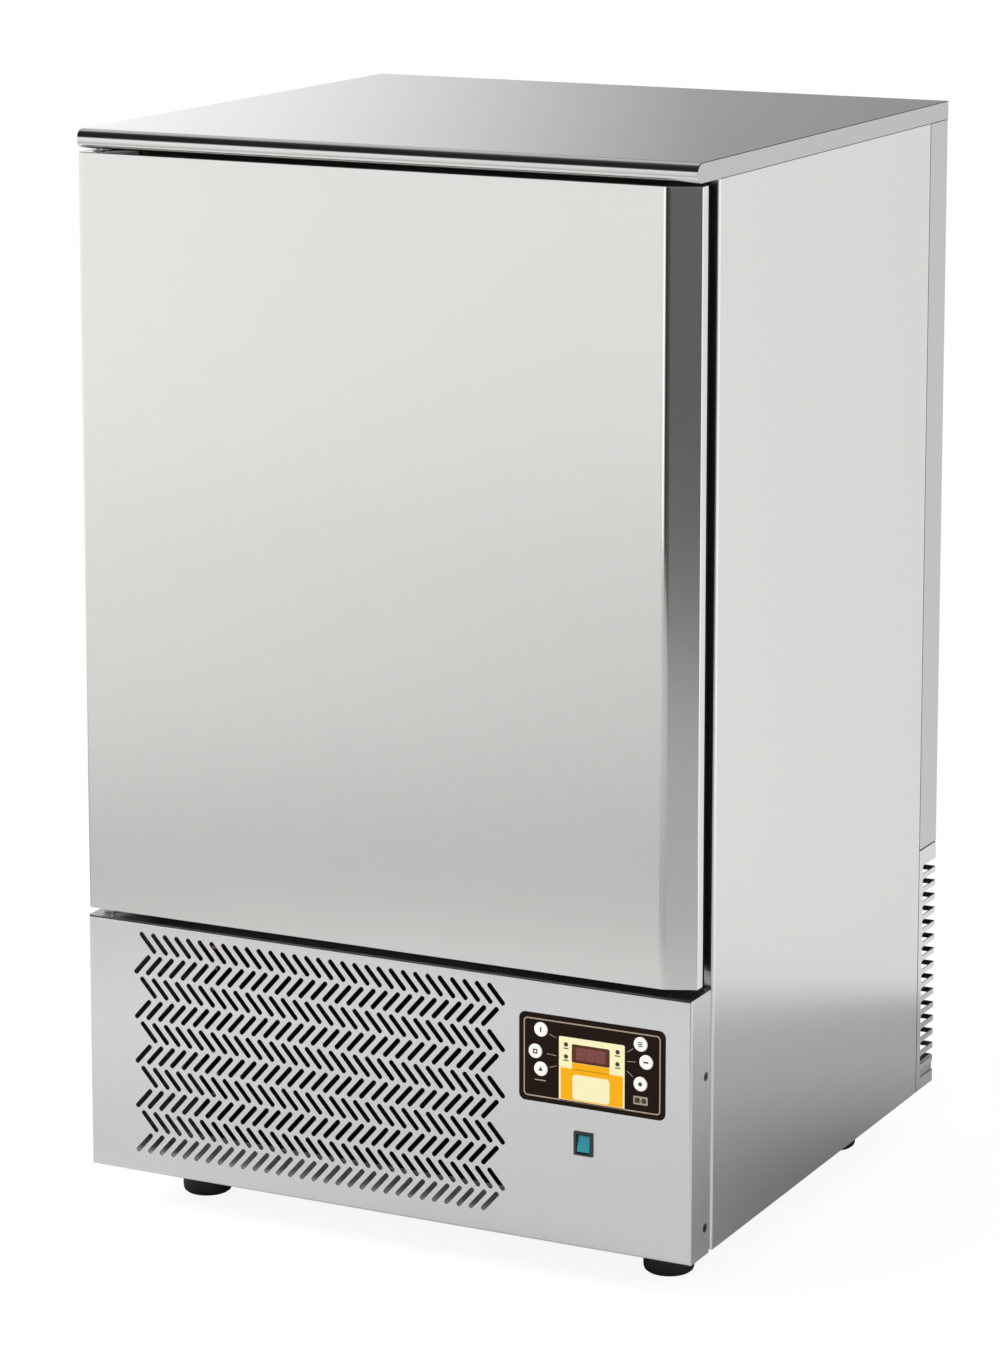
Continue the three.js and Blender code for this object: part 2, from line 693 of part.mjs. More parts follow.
/** The outer skin: one sheet, bevelled and lipped along the grip, with folded ends. */
function doorSkin() {
  const bores = cylinder(bushRadius + fit, 0, topZ + 1).translate(pivotX, pivotY, 0);
  return cut(alongZ(outline(doorOutline), doorZ, doorTopZ),
    alongZ(doorInside(sheet, doorBackY + 1), doorZ + sheet, doorTopZ - sheet), bores);
}

/** The foam inside the skin, shaped by it, with a pocket round each bush. */
function doorCore() {
  const gap = sheet + fit;
  const pocket = cylinder(bushRadius + fit, 0, topZ).translate(pivotX, pivotY, 0);
  return cut(alongZ(doorInside(gap, doorBackY - gap), doorZ + gap, doorTopZ - gap), pocket);
}

/** The inner liner: a flat pan with a raised plug that stands in the chamber's mouth. */
function doorLiner() {
  const [x0, x1] = [-sideX + sheet + fit, gripX - sheet - fit];
  const pan = block(x0, x1, doorBackY - sheet, doorBackY, doorZ + sheet + fit, doorTopZ - sheet - fit);
  const plug = (shrink, y0, y1) => alongY(roundedRectangle(
    -chamber.x + plugInset + shrink, chamber.x - plugInset - shrink,
    chamber.bottom + plugInset + shrink, chamber.top - plugInset - shrink, chamberRadius), y0, y1);
  const raised = cut(plug(0, doorBackY - sheet, doorBackY + plugDepth),
    plug(sheet, doorBackY - sheet - 1, doorBackY + plugDepth - sheet));
  return join(cut(pan, plug(0.5, doorBackY - 5, doorBackY + 5)), raised);
}

/** The magnetic gasket: a ring with a wide face on a narrower foot. */
function doorGasket() {
  const depth = gasketDepth - 2 * fit;
  const half = gasketWidth / 2;
  const ring = (grow, y0, y1) => {
    const frame = (inset) => roundedRectangle(-chamber.x - half - 2 - inset, chamber.x + half + 2 + inset,
      chamber.bottom - half - 2 - inset, chamber.top + half + 2 + inset, chamberRadius + half + inset);
    const shape = frame(grow);
    shape.holes.push(frame(-grow));
    return alongY(shape, y0, y1, 1);
  };
  const y = doorBackY + fit;
  return join(ring(half - 2.5, y, y + depth * 0.6), ring(half, y + depth * 0.5, y + depth));
}

add('door_skin', doorSkin(), steel);
add('door_core', doorCore(), foam);
add('door_liner', doorLiner(), linerSteel);
add('door_gasket', doorGasket(), blackRubber);
add('hinge_bush_bottom', hingeBush(bushFlange), nylon, pivotX, pivotY, doorZ);
add('hinge_bush_top', hingeBush(0), nylon, pivotX, pivotY, doorTopZ - bushLength);

// ---------------------------------------------------------------- fans

const hubDepth = 26;
const bladeSweep = 0.42; // radians from a blade's root line to its leading tip
const halfBlade = 1; // half of its thickness

/** How far the leading tips stand in front of the middle of the hub. */
const bladeReach = (radius, pitch) =>
  radius * Math.sin(bladeSweep) * Math.sin(pitch) + halfBlade * Math.cos(pitch);

/** An axial fan about the Z axis: pitched blades on a cup hub with a blind bore at the back. */
function axialFan(radius, hubRadius, blades, pitch) {
  const profile = [
    [0, 0], [hubRadius - 3, 0], [hubRadius, 3], [hubRadius, hubDepth], [shaftRadius + fit, hubDepth],
    [shaftRadius + fit, 10], [0, 10],
  ];
  const leaf = new THREE.Shape();
  leaf.moveTo(hubRadius - 4, -hubRadius * 0.5);
  leaf.lineTo(radius * 0.55, -radius * 0.36);
  leaf.absarc(0, 0, radius, -bladeSweep, 0.2, false);
  leaf.lineTo(radius * 0.55, radius * 0.2);
  leaf.lineTo(hubRadius - 4, hubRadius * 0.5);
  const blade = (turn) => alongZ(leaf, -halfBlade, halfBlade, 1)
    .rotateX(pitch).translate(0, 0, hubDepth / 2).rotateZ(turn);
  const turns = Array.from({ length: blades }, (_, i) => (i * 2 * Math.PI) / blades);
  return join(turned(profile, 12), ...turns.map(blade));
}

const shaftRadius = 4;
const shaftInHub = 14;

/** A fan motor about the Z axis, from its shaft end at 0 to its rear bell, on four arms. */
function fanMotor(radius, length, armRadius, plateZ, armWidth) {
  const front = shaftInHub + 3;
  const can = turned([
    [0, 0], [shaftRadius, 0], [shaftRadius, front], [radius, front],
    [radius, front + length - 8], [radius - 8, front + length], [0, front + length],
  ], 10);
  const arms = [30, 150, 210, 330].map((angle) => join(
    block(radius - 6, armRadius, -armWidth / 2, armWidth / 2, front + 12, front + 15),
    block(armRadius - 3, armRadius, -armWidth / 2, armWidth / 2, plateZ, front + 15),
  ).rotateZ(THREE.MathUtils.degToRad(angle)));
  return join(can, ...arms);
}

// ---------------------------------------------------------------- evaporator

const chamberMiddleZ = (chamber.bottom + chamber.top) / 2;
const cowlBottom = chamber.bottom + 30;
const cowlTop = chamber.top - 30;
const fanRise = (cowlTop - cowlBottom) / 4; // each fan sits in the middle of its half of the cowl
const fanLevels = [['lower', -fanRise], ['upper', fanRise]];
const cowlX = evaporatorWidth / 2;
const evaporatorPitch = THREE.MathUtils.degToRad(24);
const evaporatorFanY = baffleY + bladeReach(evaporatorFanRadius, evaporatorPitch) - hubDepth / 2 + fit;
const fanRecess = evaporatorFanY - baffleY - sheet; // hub nose behind the cowl's sheet

/** The cowl in front of the evaporator, open at top and bottom, with a ring for each fan. */
function evaporatorBaffle() {
  const shell = alongZ(folded([
    [-cowlX, chamber.back - fit], [-cowlX, baffleY], [cowlX, baffleY], [cowlX, chamber.back - fit],
  ], sheet), cowlBottom, cowlTop);
  const rings = fanLevels.map(([, z]) => alongY(
    circle(0, chamberMiddleZ + z, evaporatorFanRadius + 5), baffleY - 1, baffleY + sheet + 1, 3));
  return cut(shell, ...rings);
}

/** A finned block: in plan, fins stand out of a core towards the incoming air. */
function finnedBlock(x0, x1, y0, y1, z0, z1, fins) {
  const [pitch, depth] = [(x1 - x0) / fins, 12];
  const face = [];
  for (let i = 0; i < fins; i += 1) {
    const x = x0 + i * pitch;
    face.push([x, y0], [x + pitch * 0.45, y0], [x + pitch * 0.45, y0 + depth], [x + pitch, y0 + depth]);
  }
  return alongZ(outline([...face, [x1, y1], [x0, y1]]), z0, z1);
}

/** The evaporator: a finned block between two end plates, with its tubes run through. */
function evaporatorCoil() {
  const [x, y0, y1] = [cowlX - sheet - fit, chamber.back - 62, chamber.back - 8];
  const [z0, z1] = [cowlBottom + 12, cowlTop - 12];
  const plates = [-x, x - 2].map((px) => block(px, px + 2, y0 - 4, y1 + 4, z0, z1));
  return join(finnedBlock(-x + 26, x - 26, y0, y1, z0 + 4, z1 - 4, 12), ...plates,
    ...tubeEnds(-x + 1, x - 1, 26, (y0 + y1) / 2, z0 + 60, z1 - 60));
}

/** The tubes of a coil where they show, between its fins and its end plates. */
function tubeEnds(x0, x1, bare, y, z0, z1) {
  const tubeRadius = 6;
  return [z0, (z0 + z1) / 2, z1].flatMap((z) => [[x0, x0 + bare], [x1 - bare, x1]].map(([a, b]) =>
    cylinder(tubeRadius, a, b, 6).rotateY(Math.PI / 2).translate(0, y, z)));
}

/** A fan guard: concentric rings cut as arcs, so that four spokes are left. */
function fanGuard(radius) {
  const face = circle(0, 0, radius + 14);
  const [rings, bar, hub] = [3, 5, 20];
  const pitch = (radius - hub) / rings;
  for (let ring = 0; ring < rings; ring += 1) {
    const [r0, r1] = [hub + ring * pitch, hub + (ring + 1) * pitch - bar];
    const gap = bar / (r1 + r0);
    for (let quarter = 0; quarter < 4; quarter += 1) {
      const [a0, a1] = [quarter * Math.PI / 2 + gap, (quarter + 1) * Math.PI / 2 - gap];
      const slot = new THREE.Path();
      slot.absarc(0, 0, r1, a0, a1, false);
      slot.absarc(0, 0, r0, a1, a0, true);
      slot.closePath();
      face.holes.push(slot);
    }
  }
  return alongY(face, -3, 0, 1);
}

add('evaporator_baffle', evaporatorBaffle(), linerSteel);
add('evaporator_coil', evaporatorCoil(), finAluminium);
for (const [level, z] of fanLevels) {
  const fanZ = chamberMiddleZ + z;
  add(`evaporator_fan_${level}`, axialFan(evaporatorFanRadius, 24, 5, evaporatorPitch).rotateX(-Math.PI / 2),
    blackPlastic, 0, evaporatorFanY, fanZ);
  add(`evaporator_motor_${level}`,
    fanMotor(30, 44, evaporatorFanRadius + 12, -10 - fanRecess + fit, 12).rotateX(-Math.PI / 2),
    blackPaint, 0, evaporatorFanY + 10 + fit, fanZ);
  add(`fan_guard_${level}`, fanGuard(evaporatorFanRadius), brightSteel, 0, baffleY - fit, fanZ);
}

// ---------------------------------------------------------------- tray racks

/** One tray rack: two posts against the chamber wall, joined by a bent rod for each tray. */
function trayRack(side) {
  const wallX = chamber.x - fit;
  const edge = wallX - rackPost;
  const low = chamber.bottom + chamberRadius + fit;
  const high = chamber.bottom + lowestRunner + 10 + trayPitch * trayRunners;
  const [y0, y1] = [cabinetY + rackSetBack, cabinetY + rackSetBack + rackDepth];
  const posts = [y0, y1 - rackPost].map((y) => block(wallX - rackPost, wallX, y, y + rackPost, low, high));
  const rod = (length) => cylinder(runnerRod, 0, length, 6);
  const rodX = edge - runnerWidth + runnerRod;
  const runners = Array.from({ length: trayRunners }, (_, i) => {
    const z = chamber.bottom + lowestRunner + i * trayPitch;
    const ends = [y0 + rackPost / 2, y1 - rackPost / 2].map((y) =>
      rod(edge + 1 - rodX).rotateY(Math.PI / 2).translate(rodX, y, z));
    const rest = rod(rackDepth - rackPost + 2 * runnerRod).rotateX(-Math.PI / 2)
      .translate(rodX, y0 + rackPost / 2 - runnerRod, z);
    return join(rest, ...ends);
  });
  const rack = join(...posts, ...runners);
  return side > 0 ? rack : rack.scale(-1, 1, 1);
}

add('tray_rack_left', fromSolid(toSolid(trayRack(-1))), brightSteel);
add('tray_rack_right', trayRack(1), brightSteel);

// ---------------------------------------------------------------- condensing unit

const condenserX = -sideX + condenserFromLeft;
const condenserY = chamber.front + condenserSetBack;
const condenserZ = panTopZ + fit;
const condenserEndX = condenserX + condenserWidth;
const condenserBackY = condenserY + condenserDepth;
const condenserMiddle = [condenserX + condenserWidth / 2, condenserZ + condenserHeight / 2];

function condenserCoil() {
  const [z0, z1] = [condenserZ, condenserZ + condenserHeight];
  const plates = [condenserX, condenserEndX - 2].map((x) =>
    block(x, x + 2, condenserY, condenserBackY, z0, z1));
  return join(finnedBlock(condenserX + 22, condenserEndX - 22, condenserY + 4, condenserBackY - 4,
    z0 + 4, z1 - 4, 14), ...plates,
  ...tubeEnds(condenserX + 1, condenserEndX - 1, 22, (condenserY + condenserBackY) / 2, z0 + 40, z1 - 40));
}

/** The fan shroud: a shallow hood behind the coil with a round mouth. */
function condenserShroud() {
  const [x, z] = condenserMiddle;
  const [y0, y1] = [condenserBackY + fit, condenserBackY + fit + shroudDepth];
  const [w, h] = [condenserWidth / 2, condenserHeight / 2];
  const hood = cut(block(x - w, x + w, y0, y1, z - h, z + h),
    block(x - w + sheet, x + w - sheet, y0 - 1, y1 - sheet, z - h + sheet, z + h - sheet));
  return cut(hood, alongY(circle(x, z, condenserFanRadius + 6), y0, y1 + 1, 3));
}

const condenserFanY = condenserBackY + shroudDepth - 30;

/** A hermetic compressor: a domed can with its terminal cover, on a plate with four rubber feet. */
function compressor() {
  const r = compressorRadius;
  const can = turned([
    [0, 18], [r * 0.8, 22], [r, 50], [r, compressorHeight * 0.53], [r * 1.03, compressorHeight * 0.53],
    [r * 1.03, compressorHeight * 0.58], [r * 0.97, compressorHeight * 0.82],
    [r * 0.75, compressorHeight * 0.96], [0, compressorHeight],
  ], 14);
  const plate = alongZ(roundedRectangle(-r, r, -r, r, 18), 14, 22, 1);
  const feet = [[-1, -1], [1, -1], [-1, 1], [1, 1]].map(([x, y]) =>
    cylinder(13, fit, 16, 6).translate(x * (r - 18), y * (r - 18), 0));
  const cover = block(-24, 24, -r - 22, -r + 20, 48, 104);
  return join(can, plate, cover, ...feet);
}

const compressorX = sideX - 205;
const compressorY = backY - 208;
const receiverX = compressorX - 235;
const boxX = -sideX + footInset + bossRadius + 16;
const receiverY = backY - 148;

/** The liquid receiver: a standing pressure vessel with domed ends and an outlet neck. */
function liquidReceiver() {
  const r = receiverRadius;
  return turned([
    [0, fit], [r * 0.8, fit], [r * 0.8, 12], [r * 0.7, 12], [r, 30], [r, receiverHeight - 24],
    [r * 0.72, receiverHeight - 6], [5, receiverHeight], [5, receiverHeight + neckLength],
    [0, receiverHeight + neckLength],
  ], 12);
}

/** The filter drier on the receiver's outlet, with its tail up to the deck. */
function filterDrier() {
  const [low, high] = [machineHeight - drierLength - fit, machineHeight - fit];
  return turned([
    [0, low], [5, low], [5, low + 8], [16, low + 18], [16, high - 34], [5, high - 22], [5, high], [0, high],
  ], 10);
}

/** The box with the contactor and relays, fixed to the pan, with a lipped lid. */
function electricalBox() {
  const [w, d, h] = [180, 150, 190];
  const body = block(0, w, 0, d, fit, h);
  const lid = block(-3, w + 3, -3, d + 3, h - 22, h + 2);
  return join(body, lid);
}

const pipeY = condenserY + condenserDepth / 2;
const pipeGap = 0.7; // a pipe end's distance from what it is brazed to
const canSide = compressorRadius + pipeGap;

add('condenser_coil', condenserCoil(), finAluminium);
add('condenser_shroud', condenserShroud(), galvanised);
add('condenser_fan',
  axialFan(condenserFanRadius, 30, 5, THREE.MathUtils.degToRad(26)).rotateX(-Math.PI / 2), blackPlastic,
  condenserMiddle[0], condenserFanY, condenserMiddle[1]);
add('condenser_motor',
  fanMotor(42, 58, condenserFanRadius + 14, 30 - 10 + 2 * fit, 16).rotateX(-Math.PI / 2), blackPaint,
  condenserMiddle[0], condenserFanY + 10 + fit, condenserMiddle[1]);
add('compressor', compressor(), blackPaint, compressorX, compressorY, panTopZ);
add('liquid_receiver', liquidReceiver(), blackPaint, receiverX, receiverY, panTopZ);
add('filter_drier', filterDrier(), copper, receiverX, receiverY, panTopZ);
add('electrical_box', electricalBox(), greyBox, boxX, backY - 240, panTopZ);
add('suction_pipe', pipe([
  [compressorX + 130, compressorY + 110, deckZ - pipeGap], [compressorX + 130, compressorY + 110, deckZ - 60],
  [compressorX + 140, compressorY + 40, deckZ - 130], [compressorX + canSide + 30, compressorY, deckZ - 145],
  [compressorX + canSide, compressorY, deckZ - 145],
], 8, 10), copper);
add('discharge_pipe', pipe([
  [compressorX, compressorY - canSide, deckZ - 130], [compressorX, compressorY - 125, deckZ - 130],
  [compressorX + 20, compressorY - 190, deckZ - 80], [condenserEndX + 70, pipeY + 90, deckZ - 66],
  [condenserEndX + 50, pipeY, deckZ - 62], [condenserEndX + pipeGap, pipeY, deckZ - 62],
], 5, 12), copper);
add('liquid_pipe', pipe([
  [condenserEndX + pipeGap, pipeY, bodyZ + 60], [condenserEndX + 34, pipeY, bodyZ + 60],
  [condenserEndX + 50, pipeY + 150, bodyZ + 50], [receiverX + 30, receiverY - 130, bodyZ + 60],
  [receiverX, receiverY - 80, bodyZ + 70], [receiverX, receiverY - receiverRadius - pipeGap, bodyZ + 70],
], 5, 12), copper);

export default chiller;
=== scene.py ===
"""Looks of a blast chiller: a stainless cabinet with a bevelled door grip and a herringbone grille."""

import math

import bmesh
import bpy
from mathutils import Matrix, Vector
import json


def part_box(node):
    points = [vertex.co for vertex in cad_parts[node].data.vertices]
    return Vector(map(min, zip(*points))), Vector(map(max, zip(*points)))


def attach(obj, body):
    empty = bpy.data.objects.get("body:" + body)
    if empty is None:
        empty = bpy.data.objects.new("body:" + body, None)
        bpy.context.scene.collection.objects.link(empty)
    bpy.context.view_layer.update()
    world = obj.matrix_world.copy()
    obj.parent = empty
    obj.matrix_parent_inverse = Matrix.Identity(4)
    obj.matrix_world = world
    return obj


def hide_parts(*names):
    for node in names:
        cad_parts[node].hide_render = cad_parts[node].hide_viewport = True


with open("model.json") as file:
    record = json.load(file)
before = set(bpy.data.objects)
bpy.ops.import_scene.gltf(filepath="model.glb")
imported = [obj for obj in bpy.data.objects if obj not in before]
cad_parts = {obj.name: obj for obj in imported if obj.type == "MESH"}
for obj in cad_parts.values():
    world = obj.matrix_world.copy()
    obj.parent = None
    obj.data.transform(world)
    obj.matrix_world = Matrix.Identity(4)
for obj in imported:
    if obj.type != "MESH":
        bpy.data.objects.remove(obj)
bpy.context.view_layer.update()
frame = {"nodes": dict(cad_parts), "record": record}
cad_nodes = frame["nodes"]

MM = 0.001  # shapes are drawn in millimetres and scaled once, when they become a piece


# ---------------------------------------------------------------- camera, floor and light

CAMERA_PLACE = (2.3957, -4.8632, 1.8804)
CAMERA_TURN = 0.4632  # radians towards the left
CAMERA_TILT = 0.1681  # radians downwards
CAMERA_LENS = 121.27
CAMERA_SHIFT = -0.2
SENSOR = 36


def place_camera():
    data = bpy.data.cameras.new("camera")
    data.sensor_width = SENSOR
    data.lens = CAMERA_LENS
    data.shift_y = CAMERA_SHIFT
    camera = bpy.data.objects.new("camera", data)
    camera.location = CAMERA_PLACE
    camera.rotation_euler = (math.pi / 2 - CAMERA_TILT, 0, CAMERA_TURN)
    bpy.context.scene.collection.objects.link(camera)
    bpy.context.scene.camera = camera


class Tree:
    """Short calls for making and joining shader nodes."""

    def __init__(self, owner):
        owner.use_nodes = True
        self.tree = owner.node_tree
        self.tree.nodes.clear()

    def node(self, kind, inputs=None, **settings):
        made = self.tree.nodes.new(kind)
        for name, value in settings.items():
            setattr(made, name, value)
        for name, value in (inputs or {}).items():
            if isinstance(value, bpy.types.NodeSocket):
                self.tree.links.new(value, made.inputs[name])
            else:
                made.inputs[name].default_value = value
        return made

    def math(self, operation, *values, clamp=False):
        inputs = dict(enumerate(values))
        return self.node("ShaderNodeMath", inputs, operation=operation, use_clamp=clamp).outputs[0]

    def blend(self, factor, first, second):
        return self.node("ShaderNodeMix", {"Factor": factor, "A": first, "B": second},
                         data_type="RGBA").outputs["Result"]

    def ramp(self, factor, stops):
        """A colour ramp from (place, grey value) pairs."""
        made = self.node("ShaderNodeValToRGB", {"Fac": factor})
        elements = made.color_ramp.elements
        while len(elements) < len(stops):
            elements.new(1)
        for element, (place, value) in zip(elements, stops):
            element.position = place
            element.color = (value, value, value, 1)
        return made.outputs["Color"]


# The room as metal sees it, below and above eye level: brightness by compass direction, 0 being in front.
ROOM_BELOW = [
    (-180, 0.60), (-146, 1.0), (-60, 1.1), (-34, 1.06), (-23, 0.84), (-15, 1.35), (-10, 1.35), (-5, 0.03),
    (1, 0.03), (7, 0.08), (34, 0.08), (54, 0.80), (72, 1.3), (82, 0.96), (98, 0.96), (110, 1.3),
    (124, 1.2), (140, 0.98), (152, 0.92), (164, 0.76), (174, 0.64), (180, 0.60),
]
ROOM_ABOVE = [
    (-180, 0.50), (-168, 0.40), (-161, 0.29), (-156, 0.40), (-151, 0.92), (-146, 1.28), (-80, 1.0),
    (-34, 0.96), (10, 0.62), (60, 0.80), (72, 1.1), (82, 0.92), (98, 0.92), (110, 1.1),
    (150, 0.88), (168, 0.62), (180, 0.50),
]
DARK_SECTOR = [(-180, 0.0), (-112, 0.0), (-84, 1.0), (170, 1.0), (180, 0.0)]  # where the ceiling is unlit
DARK_CEILING = [(0.0, 1.0), (0.56, 1.0), (0.64, 0.05), (0.72, 0.02), (0.9, 0.02), (1.0, 0.10)]
LIT_CEILING = [(0.0, 1.0), (0.556, 1.0), (0.60, 0.42), (0.85, 0.50), (0.95, 0.35), (1.0, 0.10)]
SKY_FILL = 0.62  # what unpolished surfaces get from all round


def light_the_world():
    world = bpy.data.worlds.new("studio")
    bpy.context.scene.world = world
    t = Tree(world)
    way = t.node("ShaderNodeTexCoord").outputs["Generated"]
    x, y, z = t.node("ShaderNodeSeparateXYZ", {0: way}).outputs
    azimuth = t.math("ARCTAN2", x, t.math("MULTIPLY", y, -1.0))
    turn = t.math("MULTIPLY_ADD", azimuth, 0.5 / math.pi, 0.5)
    height = t.math("MULTIPLY_ADD", z, 0.5, 0.5)
    below, above, sector = [t.ramp(turn, [(degrees / 360 + 0.5, v) for degrees, v in stops])
                            for stops in (ROOM_BELOW, ROOM_ABOVE, DARK_SECTOR)]
    rise = t.node("ShaderNodeMapRange", {"Value": z, "From Min": -0.05, "From Max": 0.05}).outputs[0]
    walls = t.blend(rise, below, above)
    ceiling = t.blend(sector, t.ramp(height, LIT_CEILING), t.ramp(height, DARK_CEILING))
    room = t.math("MULTIPLY", walls, ceiling)
    ray = t.node("ShaderNodeLightPath").outputs
    level = t.math("MULTIPLY", t.math("SUBTRACT", 1.0, ray["Is Glossy Ray"]), SKY_FILL)
    level = t.math("MULTIPLY_ADD", ray["Is Glossy Ray"], room, level)
    level = t.math("MAXIMUM", level, ray["Is Camera Ray"])
    background = t.node("ShaderNodeBackground", {"Color": (1, 1, 1, 1), "Strength": level})
    t.node("ShaderNodeOutputWorld", {"Surface": background.outputs[0]})


LAMP_AIM = Vector((0, 0, 0.6))


def add_lamp(name, place, size, power):
    data = bpy.data.lights.new(name, "AREA")
    data.shape = "DISK"
    data.size = size
    data.energy = power
    lamp = bpy.data.objects.new(name, data)
    lamp.location = place
    lamp.rotation_euler = (LAMP_AIM - Vector(place)).to_track_quat("-Z", "Y").to_euler()
    lamp.visible_glossy = False
    bpy.context.scene.collection.objects.link(lamp)


FLOOR_RADIUS = 3.0
FLOOR_PLACE = (-0.9, -1.7, 0)
FLOOR_SHOWN_GREY = 0.16  # what the camera sees of the lamps' light on it, and so of the shadow
FLOOR_SHOWN_WHITE = 0.9
# The floor's colour, for light and reflections, has the object's shade painted on: darker round this place,
# varied further out.
SHADE_PLACE = (0.1, 0.1, 0)  # the floor round here lies in the shade of the object
SHADE_REACH = 4.0
FLOOR_PAINTED_SHADE = [(0.0, 0.31), (0.09, 0.36), (0.125, 0.50), (0.17, 0.66), (0.25, 0.57), (0.39, 0.66),
              (0.52, 0.34), (0.82, 0.46)]  # by the part of that reach a place lies from it


def lay_floor():
    bm = bmesh.new()
    bmesh.ops.create_circle(bm, cap_ends=True, segments=96, radius=FLOOR_RADIUS,
                            matrix=Matrix.Translation(FLOOR_PLACE))
    mesh = bpy.data.meshes.new("floor")
    bm.to_mesh(mesh)
    bm.free()
    floor = bpy.data.objects.new("floor", mesh)
    bpy.context.scene.collection.objects.link(floor)
    material = bpy.data.materials.new("floor")
    t = Tree(material)
    place = t.node("ShaderNodeTexCoord").outputs["Object"]
    out = t.node("ShaderNodeVectorMath", {0: place, 1: SHADE_PLACE}, operation="DISTANCE").outputs["Value"]
    # painted shade: the floor's grey by its distance from the shade place
    grey = t.ramp(t.math("DIVIDE", out, SHADE_REACH), FLOOR_PAINTED_SHADE)
    seen_by_light = t.node("ShaderNodeBsdfDiffuse", {"Color": grey})
    shaded = t.node("ShaderNodeBsdfDiffuse", {"Color": (FLOOR_SHOWN_GREY,) * 3 + (1,)})
    white = t.node("ShaderNodeEmission", {"Color": (1, 1, 1, 1), "Strength": FLOOR_SHOWN_WHITE})
    seen = t.node("ShaderNodeAddShader", {0: shaded.outputs[0], 1: white.outputs[0]})
    camera_ray = t.node("ShaderNodeLightPath").outputs["Is Camera Ray"]
    mix = t.node("ShaderNodeMixShader", {0: camera_ray, 1: seen_by_light.outputs[0], 2: seen.outputs[0]})
    t.node("ShaderNodeOutputMaterial", {"Surface": mix.outputs[0]})
    mesh.materials.append(material)


bpy.context.scene.view_settings.view_transform = "Standard"
place_camera()
light_the_world()
add_lamp("key", (-3.0, -3.4, 3.4), 2.6, 230)
add_lamp("fill", (3.4, -2.2, 2.6), 2.4, 45)
lay_floor()


# ---------------------------------------------------------------- finishes

def finish(name, colour, roughness, metallic, grain, colour_swing=0.04, roughness_swing=0.05,
           bump=0.05, bump_height=0.0002, detail=3.0, **shader):
    """A surface whose colour, gloss and relief follow one noise, stretched by its grain."""
    material = bpy.data.materials.new(name)
    t = Tree(material)
    place = t.node("ShaderNodeTexCoord").outputs["Object"]
    mapped = t.node("ShaderNodeMapping", {"Vector": place, "Scale": grain}).outputs[0]
    noise = t.node("ShaderNodeTexNoise", {"Vector": mapped, "Scale": 1.0, "Detail": detail})
    fac = noise.outputs[0]
    low = tuple(c * (1 - colour_swing) for c in colour) + (1,)
    high = tuple(min(1, c * (1 + colour_swing)) for c in colour) + (1,)
    mixed = t.blend(fac, low, high)
    rough = t.node("ShaderNodeMapRange", {
        "Value": fac, "From Min": 0.3, "From Max": 0.7,
        "To Min": roughness - roughness_swing, "To Max": roughness + roughness_swing,
    })
    relief = t.node("ShaderNodeBump", {"Height": fac, "Strength": bump, "Distance": bump_height})
    surface = t.node("ShaderNodeBsdfPrincipled", {
        "Base Color": mixed, "Roughness": rough.outputs[0],
        "Normal": relief.outputs[0], "Metallic": metallic, **shader,
    })
    t.node("ShaderNodeOutputMaterial", {"Surface": surface.outputs[0]})
    return material


FLAT_GRAIN = (3, 3, 700)
UPRIGHT_GRAIN = (700, 700, 3)

STEEL = (0.80, 0.79, 0.77)
brushed_front = finish("brushed_front", STEEL, 0.20, 1.0, FLAT_GRAIN, 0.010, 0.012, 0.008)
brushed_fold = finish("brushed_fold", STEEL, 0.09, 1.0, FLAT_GRAIN, 0.010, 0.012, 0.006)
# painted shade: a darker copy of the worktop's steel, used on its ends
brushed_end_painted_shade = finish("brushed_end_painted_shade", (0.58, 0.57, 0.56), 0.24, 1.0, FLAT_GRAIN, 0.010, 0.012, 0.006)
brushed_side = finish("brushed_side", STEEL, 0.22, 1.0, UPRIGHT_GRAIN, 0.010, 0.012, 0.008)
brushed_top = finish("brushed_top", STEEL, 0.12, 1.0, (3, 700, 700), 0.012, 0.012, 0.012)
brushed_panel = finish("brushed_panel", (0.80, 0.80, 0.81), 0.26, 1.0, FLAT_GRAIN, 0.008, 0.010, 0.006)
brushed_back = finish("brushed_back", (0.60, 0.61, 0.63), 0.32, 1.0, UPRIGHT_GRAIN, 0.02, 0.03, 0.02)
liner_steel = finish("liner_steel", (0.78, 0.79, 0.80), 0.24, 1.0, UPRIGHT_GRAIN, 0.015, 0.02, 0.02)
galvanised = finish("galvanised", (0.55, 0.57, 0.59), 0.48, 0.85, (45, 45, 45), 0.16, 0.12, 0.1, detail=0.0)
bright_steel = finish("bright_steel", (0.74, 0.75, 0.76), 0.22, 1.0, (300, 300, 300))
screw_steel = finish("screw_steel", (0.50, 0.50, 0.51), 0.30, 1.0, (900, 900, 900))
screw_dark = finish("screw_dark", (0.09, 0.09, 0.10), 0.34, 1.0, (900, 900, 900))
foam_fill = finish("foam_fill", (0.80, 0.70, 0.45), 0.9, 0.0, (400, 400, 400), 0.1, 0.05, 0.5, 0.001)
black_plastic = finish("black_plastic", (0.022, 0.022, 0.024), 0.42, 0.0, (900, 900, 900), 0.1, 0.05, 0.15)
black_rubber = finish("black_rubber", (0.015, 0.015, 0.016), 0.6, 0.0, (700, 700, 700), 0.15, 0.08, 0.2)
fascia_film = finish("fascia_film", (0.012, 0.006, 0.004), 0.34, 0.0, (500, 500, 500), 0.1, 0.05, 0.04,
                     **{"Specular IOR Level": 0.08})
print_beige = finish("print_beige", (0.36, 0.27, 0.20), 0.42, 0.0, (900, 900, 900), 0.06, 0.05, 0.03)
print_cream = finish("print_cream", (0.84, 0.78, 0.46), 0.42, 0.0, (900, 900, 900), 0.02, 0.05, 0.03)
print_orange = finish("print_orange", (0.84, 0.38, 0.008), 0.45, 0.0, (700, 700, 700), 0.03, 0.05, 0.03,
                      **{"Specular IOR Level": 0.1})
